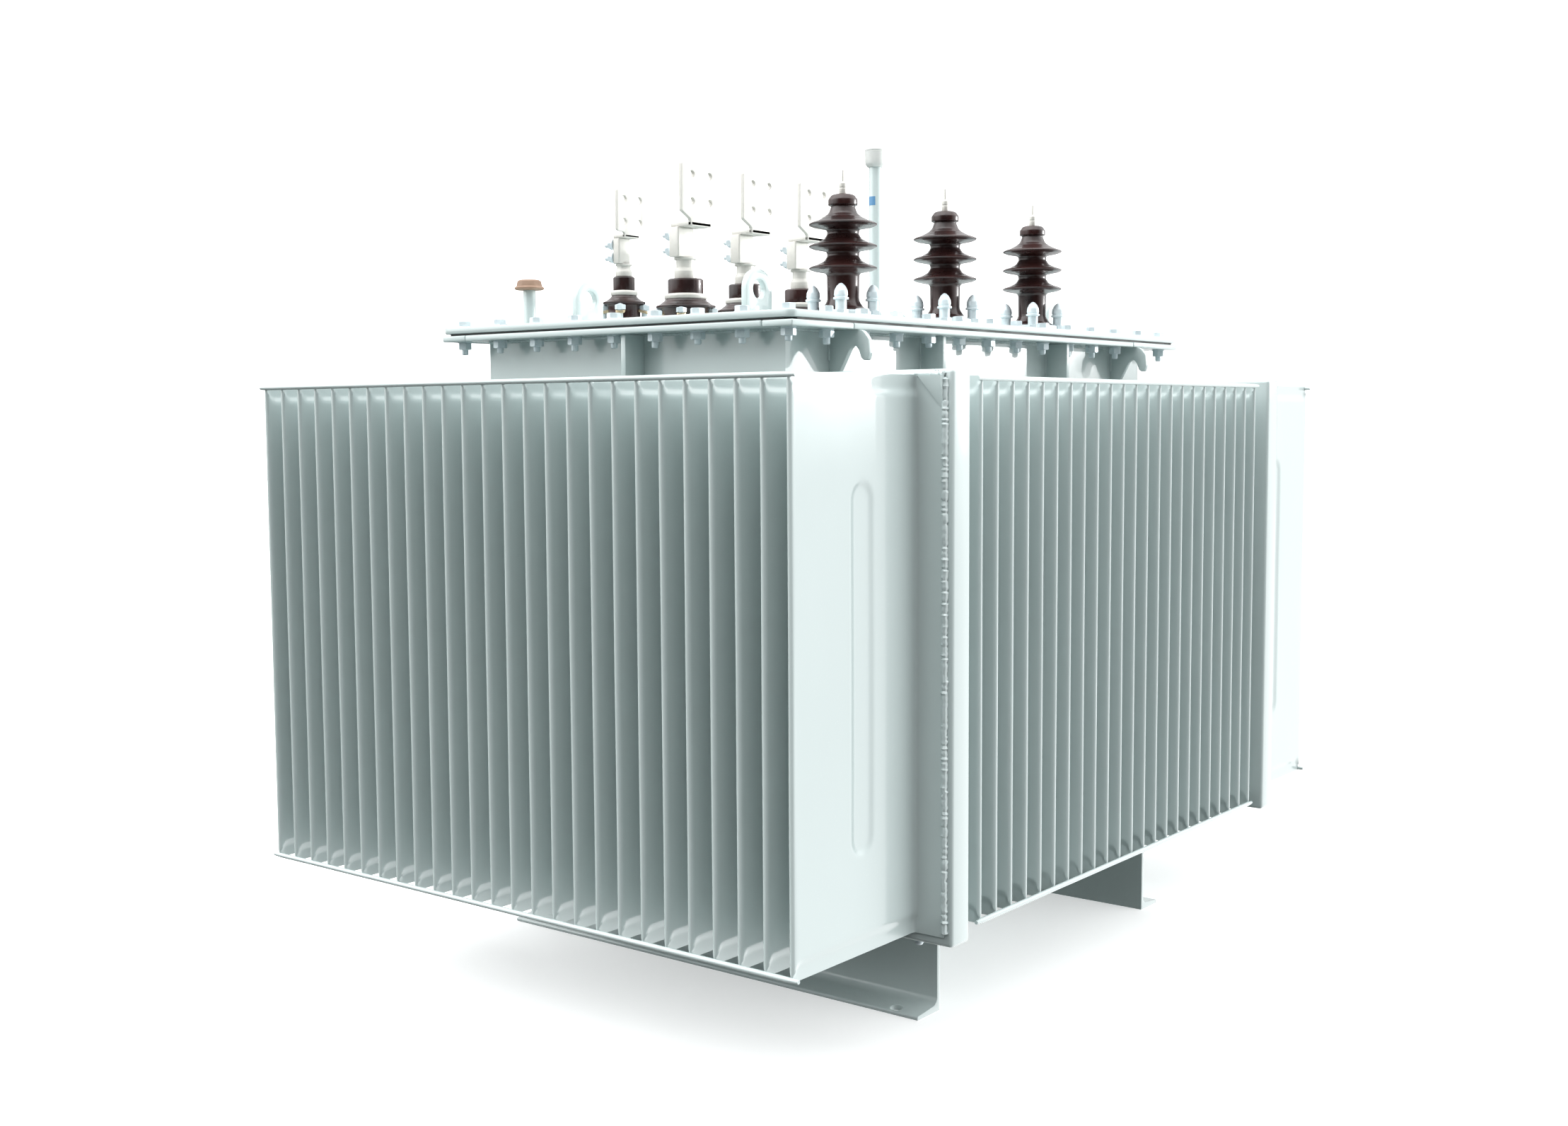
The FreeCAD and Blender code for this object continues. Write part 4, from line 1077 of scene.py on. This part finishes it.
# %% Throw the low-voltage porcelain
def lv_bushing(label, foot_r, flare_r, flare_z, collar_r, collar_z, cap_r, cap_z, top_z):
    """Porcelain, seal collar and clamps of one low-voltage bushing; heights are over the cover."""
    x, y, z = foot_of(f"lv_bushing_{label}")
    body = [(0, 0), (foot_r, 0, 1), (foot_r, flare_z - 17, 6), (flare_r - 9, flare_z - 6, 5)]
    body += [(flare_r - 1.5, flare_z - 5, 2), (flare_r, flare_z - 1, 1.5), (flare_r - 7, flare_z + 1.5, 6)]
    body += [(collar_r - 1, collar_z - 4, 8), (collar_r - 3, collar_z, 0.5)]
    body += [(cap_r - 1, collar_z), (cap_r - 1, cap_z)]
    body += [(cap_r, cap_z, 1), (cap_r, top_z - 2, 2.2), (cap_r - 2.5, top_z, 1), (0, top_z)]
    bench = Bench()
    bench.turn(rounded(body, False, 4), (x, y, cover_top), steps=64)
    bench.finish(f"lv_porcelain_{label}", porcelain, "porcelain", [f"lv_bushing_{label}"])
    bench = Bench()
    ring = [(cap_r - 1.5, collar_z - 1), (collar_r - 1.5, collar_z - 1, 2)]
    ring += [(collar_r, cap_z - 2, 3), (cap_r - 1.5, cap_z + 1, 1)]
    bench.hoop(rounded(ring, True, 3), (x, y, cover_top), 56)
    bench.finish(f"lv_collar_{label}", tin, "tinned_terminal")
    return x, y


PHASE_TOP, NEUTRAL_TOP = 103, 97
PHASE = dict(foot_r=42, flare_r=57, flare_z=53, collar_r=41, collar_z=66)
PHASE |= dict(cap_r=33.5, cap_z=75, top_z=PHASE_TOP)
NEUTRAL = dict(foot_r=29, flare_r=39, flare_z=52, collar_r=25, collar_z=64)
NEUTRAL |= dict(cap_r=19.5, cap_z=72, top_z=NEUTRAL_TOP)
lv_spots = {label: lv_bushing(label, **PHASE) for label in ("1", "2", "3")}
lv_spots["neutral"] = lv_bushing("neutral", **NEUTRAL)

# %% Clamp the low-voltage bushings
JAW = rounded([(-13, -8, 3), (7, -9, 6), (7, 9, 6), (-13, 8, 3)], True, 3)
JAW_TURN, JAW_THICK, JAW_SLOPE = 32, 5, -0.25
for label, (x, y) in lv_spots.items():
    reach, level = (52.0, 36) if label != "neutral" else (37.0, 34)
    jaws, nuts = Bench(), Bench()
    for quarter in range(4):
        angle = math.radians(JAW_TURN + 90 * quarter)
        out = Vector((math.cos(angle), math.sin(angle), 0))
        side = Vector((-out.y, out.x, 0))
        middle = Vector((x, y, cover_top + level)) + out * reach
        lay = lambda a, b, c: middle + out * a + side * b + Vector((0, 0, c + (a + 13) * JAW_SLOPE))
        jaws.slab(JAW, JAW_THICK, lay, edge=1)
        stud = [(0.1, 0), (5, 0), (5, level + 12), (0.1, level + 14)]
        nuts.turn(stud, middle - Vector((0, 0, level)), steps=14)
        nuts.hexagon(middle + Vector((0, 0, 2)), 17, 9, spin=angle)
        nuts.hexagon(middle + Vector((0, 0, -level)), 19, 12, spin=angle)
    jaws.finish(f"lv_jaws_{label}", brass, "zinc")
    nuts.finish(f"lv_clamp_nuts_{label}", zinc, "zinc")


# %% [markdown]
# ## Low-voltage terminals
# A seal nut, a post and a clamp block carry a flag of flat bar with four holes, to which the cables are
# bolted. The flag is bent: a foot lies on the block, and the plate stands up from it, with sloping shoulders
# from the narrow neck to the full width.


# %% Bend and drill a terminal
POST_WASHER = 4


def lv_terminal(label, cap, nut, post, washer, block, foot, flag, screw):
    """Tinned terminal; cap is the porcelain's top, and block heights are over the cover."""
    x, y = lv_spots[label]
    low, top, width = cover_top + block["low"], cover_top + block["top"], block["width"]
    bench = Bench()
    collar = [(0, 0), (nut["radius"], 0, 1), (nut["radius"], nut["tall"] * 0.8, 3)]
    collar += [(post, nut["tall"] + 3, 5), (post, block["low"] - cap), (0, block["low"] - cap)]
    bench.turn(rounded(collar, False, 3), (x, y, cover_top + cap), steps=48)
    bench.disc(washer, POST_WASHER, 1, (x, y, low - POST_WASHER), steps=40)
    far = width / 2 - 1
    outline = [(-width / 2, -block["front"], 3), (width / 2, -block["front"], 3)]
    outline += [(width / 2, block["back"], far), (-width / 2, block["back"], far)]
    bench.slab(rounded(outline, True, 5), top - low, lambda a, b, c: (x + a, y + b, low + c), edge=1.8)

    thick, neck = foot["thick"], foot["neck"]
    face = foot["offset"] + thick / 2
    sole = [(-width / 2, -neck, 3), (face, -neck, 2), (face, neck, 2), (-width / 2, neck, 6)]
    bench.slab(rounded(sole, True, 4), thick, lambda a, b, c: (x + a, y + b, top + c), edge=1.5)
    wide, spacing = flag["half_width"], flag["hole_reach"]
    shoulder = block["top"] + flag["rise"]
    high = shoulder + flag["tall"]
    waist = (neck, shoulder - flag["slope"], 3 + flag["slope"] / 3)
    start = block["top"] + 1
    outline = [(-neck, start), (neck, start), waist, (wide, shoulder, 4), (wide, high, 4)]
    outline += [(-wide, high, 4), (-wide, shoulder, 4), (-waist[0], *waist[1:])]
    middle = shoulder + flag["tall"] / 2
    holes = [(a * spacing, middle + b * spacing, flag["hole"]) for a in (-1, 1) for b in (-1, 1)]
    lay = lambda a, b, c: (x + face - thick + c, y + a, cover_top + b)
    bench.slab(rounded(outline, True, 4), thick, lay, holes, edge=0.9)
    bench.finish(f"lv_flag_{label}", tin, "tinned_terminal", [f"lv_terminal_{label}"])

    screws = Bench()
    out = Vector((-1, 0, 0))
    for share in (0.24, 0.76):
        spot = Vector((x - width / 2, y - block["front"] * 0.6, low + (top - low) * share))
        screws.turn([(0.1, 0), (11, 0), (11, 2.5), (0.1, 2.5)], spot, out, 24)
        screws.hexagon(spot + out * 2, screw, 11, out, 0.3)
        screws.turn(rounded([(0, 0), (4.5, 0), (4.5, 24, 1.5), (0, 25)], False, 3), spot, out, 16)
    screws.finish(f"lv_screws_{label}", zinc, "zinc")


PHASE_TERMINAL = dict(
    cap=PHASE_TOP,
    nut=dict(radius=21, tall=18),
    post=17.5,
    washer=21.5,
    block=dict(low=143, top=198, width=24, front=33, back=17),
    foot=dict(thick=8, offset=37, neck=28.5),
    flag=dict(half_width=54, tall=88, rise=26, slope=14, hole_reach=25, hole=6.5),
    screw=19,
)
NEUTRAL_TERMINAL = dict(
    cap=NEUTRAL_TOP,
    nut=dict(radius=15, tall=11),
    post=12,
    washer=14.5,
    block=dict(low=120, top=165, width=16, front=20, back=12),
    foot=dict(thick=6, offset=19, neck=19),
    flag=dict(half_width=38, tall=74, rise=11, slope=1.5, hole_reach=20, hole=6),
    screw=15,
)
for label in ("1", "2", "3"):
    lv_terminal(label, **PHASE_TERMINAL)
lv_terminal("neutral", **NEUTRAL_TERMINAL)

# %% [markdown]
# ## Pipes on the cover
# The tall pipe relieves pressure and ends in a cup-shaped cap. The short one is for filling and has a flat
# cap with a brim. Both are welded to the cover. A plain blue label is stuck round the tall pipe.

# %% Set up the pipes
low, high = box("relief_pipe")
x, y = (low.x + high.x) / 2, (low.y + high.y) / 2
tall = high.z - low.z
radius = (high.x - low.x) / 2
bench = Bench()
bench.turn(rounded([(0, 0), (radius, 0), (radius, tall, 1), (0, tall)], False, 3), (x, y, low.z), steps=48)
around = [math.tau * step / 24 for step in range(25)]
reach = radius + 1
bench.bead([(x + reach * math.cos(t), y + reach * math.sin(t), low.z) for t in around], 3.0, 90, 5)
bench.finish("tall_pipe", plate_paint, "tank_paint", ["relief_pipe"])
cap_low, cap_high = box("relief_pipe_cap")
rise = cap_high.z - high.z
cup = [(0, -4), (14, -4, 0.8), (17, -3.5, 2), (21.5, 3, 6), (22.3, 10, 6), (22.3, rise - 6)]
cup += [(21.4, rise - 5, 0.5), (22.3, rise - 4, 0.5), (22.3, rise - 1, 1), (20, rise, 1), (0, rise)]
bench = Bench()
bench.turn(rounded(cup, False, 3), (x, y, high.z), steps=56)
bench.finish("tall_pipe_cap", white_plastic, "white_cap", ["relief_pipe_cap"])
LABEL_LOW, LABEL_TALL, LABEL_FROM, LABEL_ROUND = 299.0, 19.0, -165, 110
rings = []
for step in range(15):
    angle = math.radians(LABEL_FROM + LABEL_ROUND * step / 14)
    spot = [(radius + r, z) for r, z in ((0.05, 0), (0.5, 0.2), (0.5, LABEL_TALL - 0.2), (0.05, LABEL_TALL))]
    rings.append([(x + r * math.cos(angle), y + r * math.sin(angle), low.z + LABEL_LOW + z) for r, z in spot])
bench = Bench()
bench.sweep(rings)
bench.finish("pipe_label", blue_label, "white_cap")

# %% Set up the filler
low, high = box("filler_pipe")
x, y = (low.x + high.x) / 2, (low.y + high.y) / 2
radius = (high.x - low.x) / 2
bench = Bench()
tall = high.z - low.z
bench.turn(rounded([(0, 0), (radius, 0), (radius, tall, 1), (0, tall)], False, 3), (x, y, low.z), steps=40)
skirt = rounded([(0, 0), (17, 0, 1), (17, 5, 1.5), (radius, 7, 1), (0, 8)], False, 3)
bench.turn(skirt, (x, y, low.z), steps=40)
bench.finish("filler_tube", plate_paint, "tank_paint", ["filler_pipe"])
brim = [(0, 0), (10.8, 0), (23, 0.5, 1), (25.8, 2, 1), (25.8, 4.5, 1.2), (22.5, 6.5, 1.5)]
brim += [(20.5, 15.5, 2.5), (17, 17.8, 3), (0, 18)]
bench = Bench()
bench.turn(rounded(brim, False, 3), (x, y, high.z), steps=56)
bench.finish("filler_cap_top", tan_plastic, "tan_cap", ["filler_cap"])

# %% [markdown]
# ## Skids
# The tank stands on two channels with their flanges outwards. A rolled channel has a large fillet inside
# and flanges that get thinner towards their tips, which shows at the cut ends. The section is drawn as an
# outline and drawn out along X, and the holes are cut with a Boolean.


# %% Roll the skids
WEB, LIP, HOLE_INSET, HOLE_OUT, HOLE_RADIUS, DRILL_LONG = 8, 6.5, 50, 51, 11, 60


def skid(end, sign):
    """Channel with tapered flanges, from the frame's box of the skid."""
    low, high = box(f"skid_{end}")
    back = high.y if sign < 0 else low.y
    tip = low.y if sign < 0 else high.y
    reach, tall = abs(tip - back), high.z - low.z
    section = [(0, 0, 1), (reach, 0, 1.5), (reach, LIP, 3), (WEB, 12, 13), (WEB, tall - 12, 13)]
    section += [(reach, tall - LIP, 3), (reach, tall, 1.5), (0, tall, 1)]
    bench = Bench()
    lay = lambda a, b, c: (low.x + c, back + sign * a, low.z + b)
    bench.slab(rounded(section, True, 6), high.x - low.x, lay, edge=0.9)
    piece = bench.finish(f"skid_channel_{end}", tank_paint, "tank_paint", [f"skid_{end}"])
    drill = bpy.data.meshes.new("drill")
    bm = bmesh.new()
    round_bit = dict(segments=40, radius1=HOLE_RADIUS * MILLIMETRE, radius2=HOLE_RADIUS * MILLIMETRE)
    for x in (low.x + HOLE_INSET, high.x - HOLE_INSET):
        spot = Matrix.Translation(Vector((x, back + sign * HOLE_OUT, 6)) * MILLIMETRE)
        bmesh.ops.create_cone(bm, cap_ends=True, depth=DRILL_LONG * MILLIMETRE, matrix=spot, **round_bit)
    bm.to_mesh(drill)
    bm.free()
    tool = bpy.data.objects.new("drill", drill)
    scene.collection.objects.link(tool)
    cut = piece.modifiers.new("holes", "BOOLEAN")
    cut.operation, cut.object, cut.solver = "DIFFERENCE", tool, "EXACT"
    bpy.context.view_layer.update()
    drilled = bpy.data.meshes.new_from_object(piece.evaluated_get(bpy.context.evaluated_depsgraph_get()))
    piece.modifiers.clear()
    piece.data = drilled
    drilled.set_sharp_from_angle(angle=SHARP_FROM)
    bpy.data.objects.remove(tool)
    print(f"skid_channel_{end}: {len(drilled.polygons)} faces after drilling")


skid("front", -1)
skid("rear", 1)

# %% Screw in the drain plug
bench = Bench()
screw = rounded([(0, 0), (5, 0, 2), (6.8, 4, 2), (6.8, 12), (0, 12)], False, 3)
bench.turn(screw, foot_of("drain_plug"), steps=28)
bench.finish("drain_screw", zinc, "zinc", ["drain_plug"])
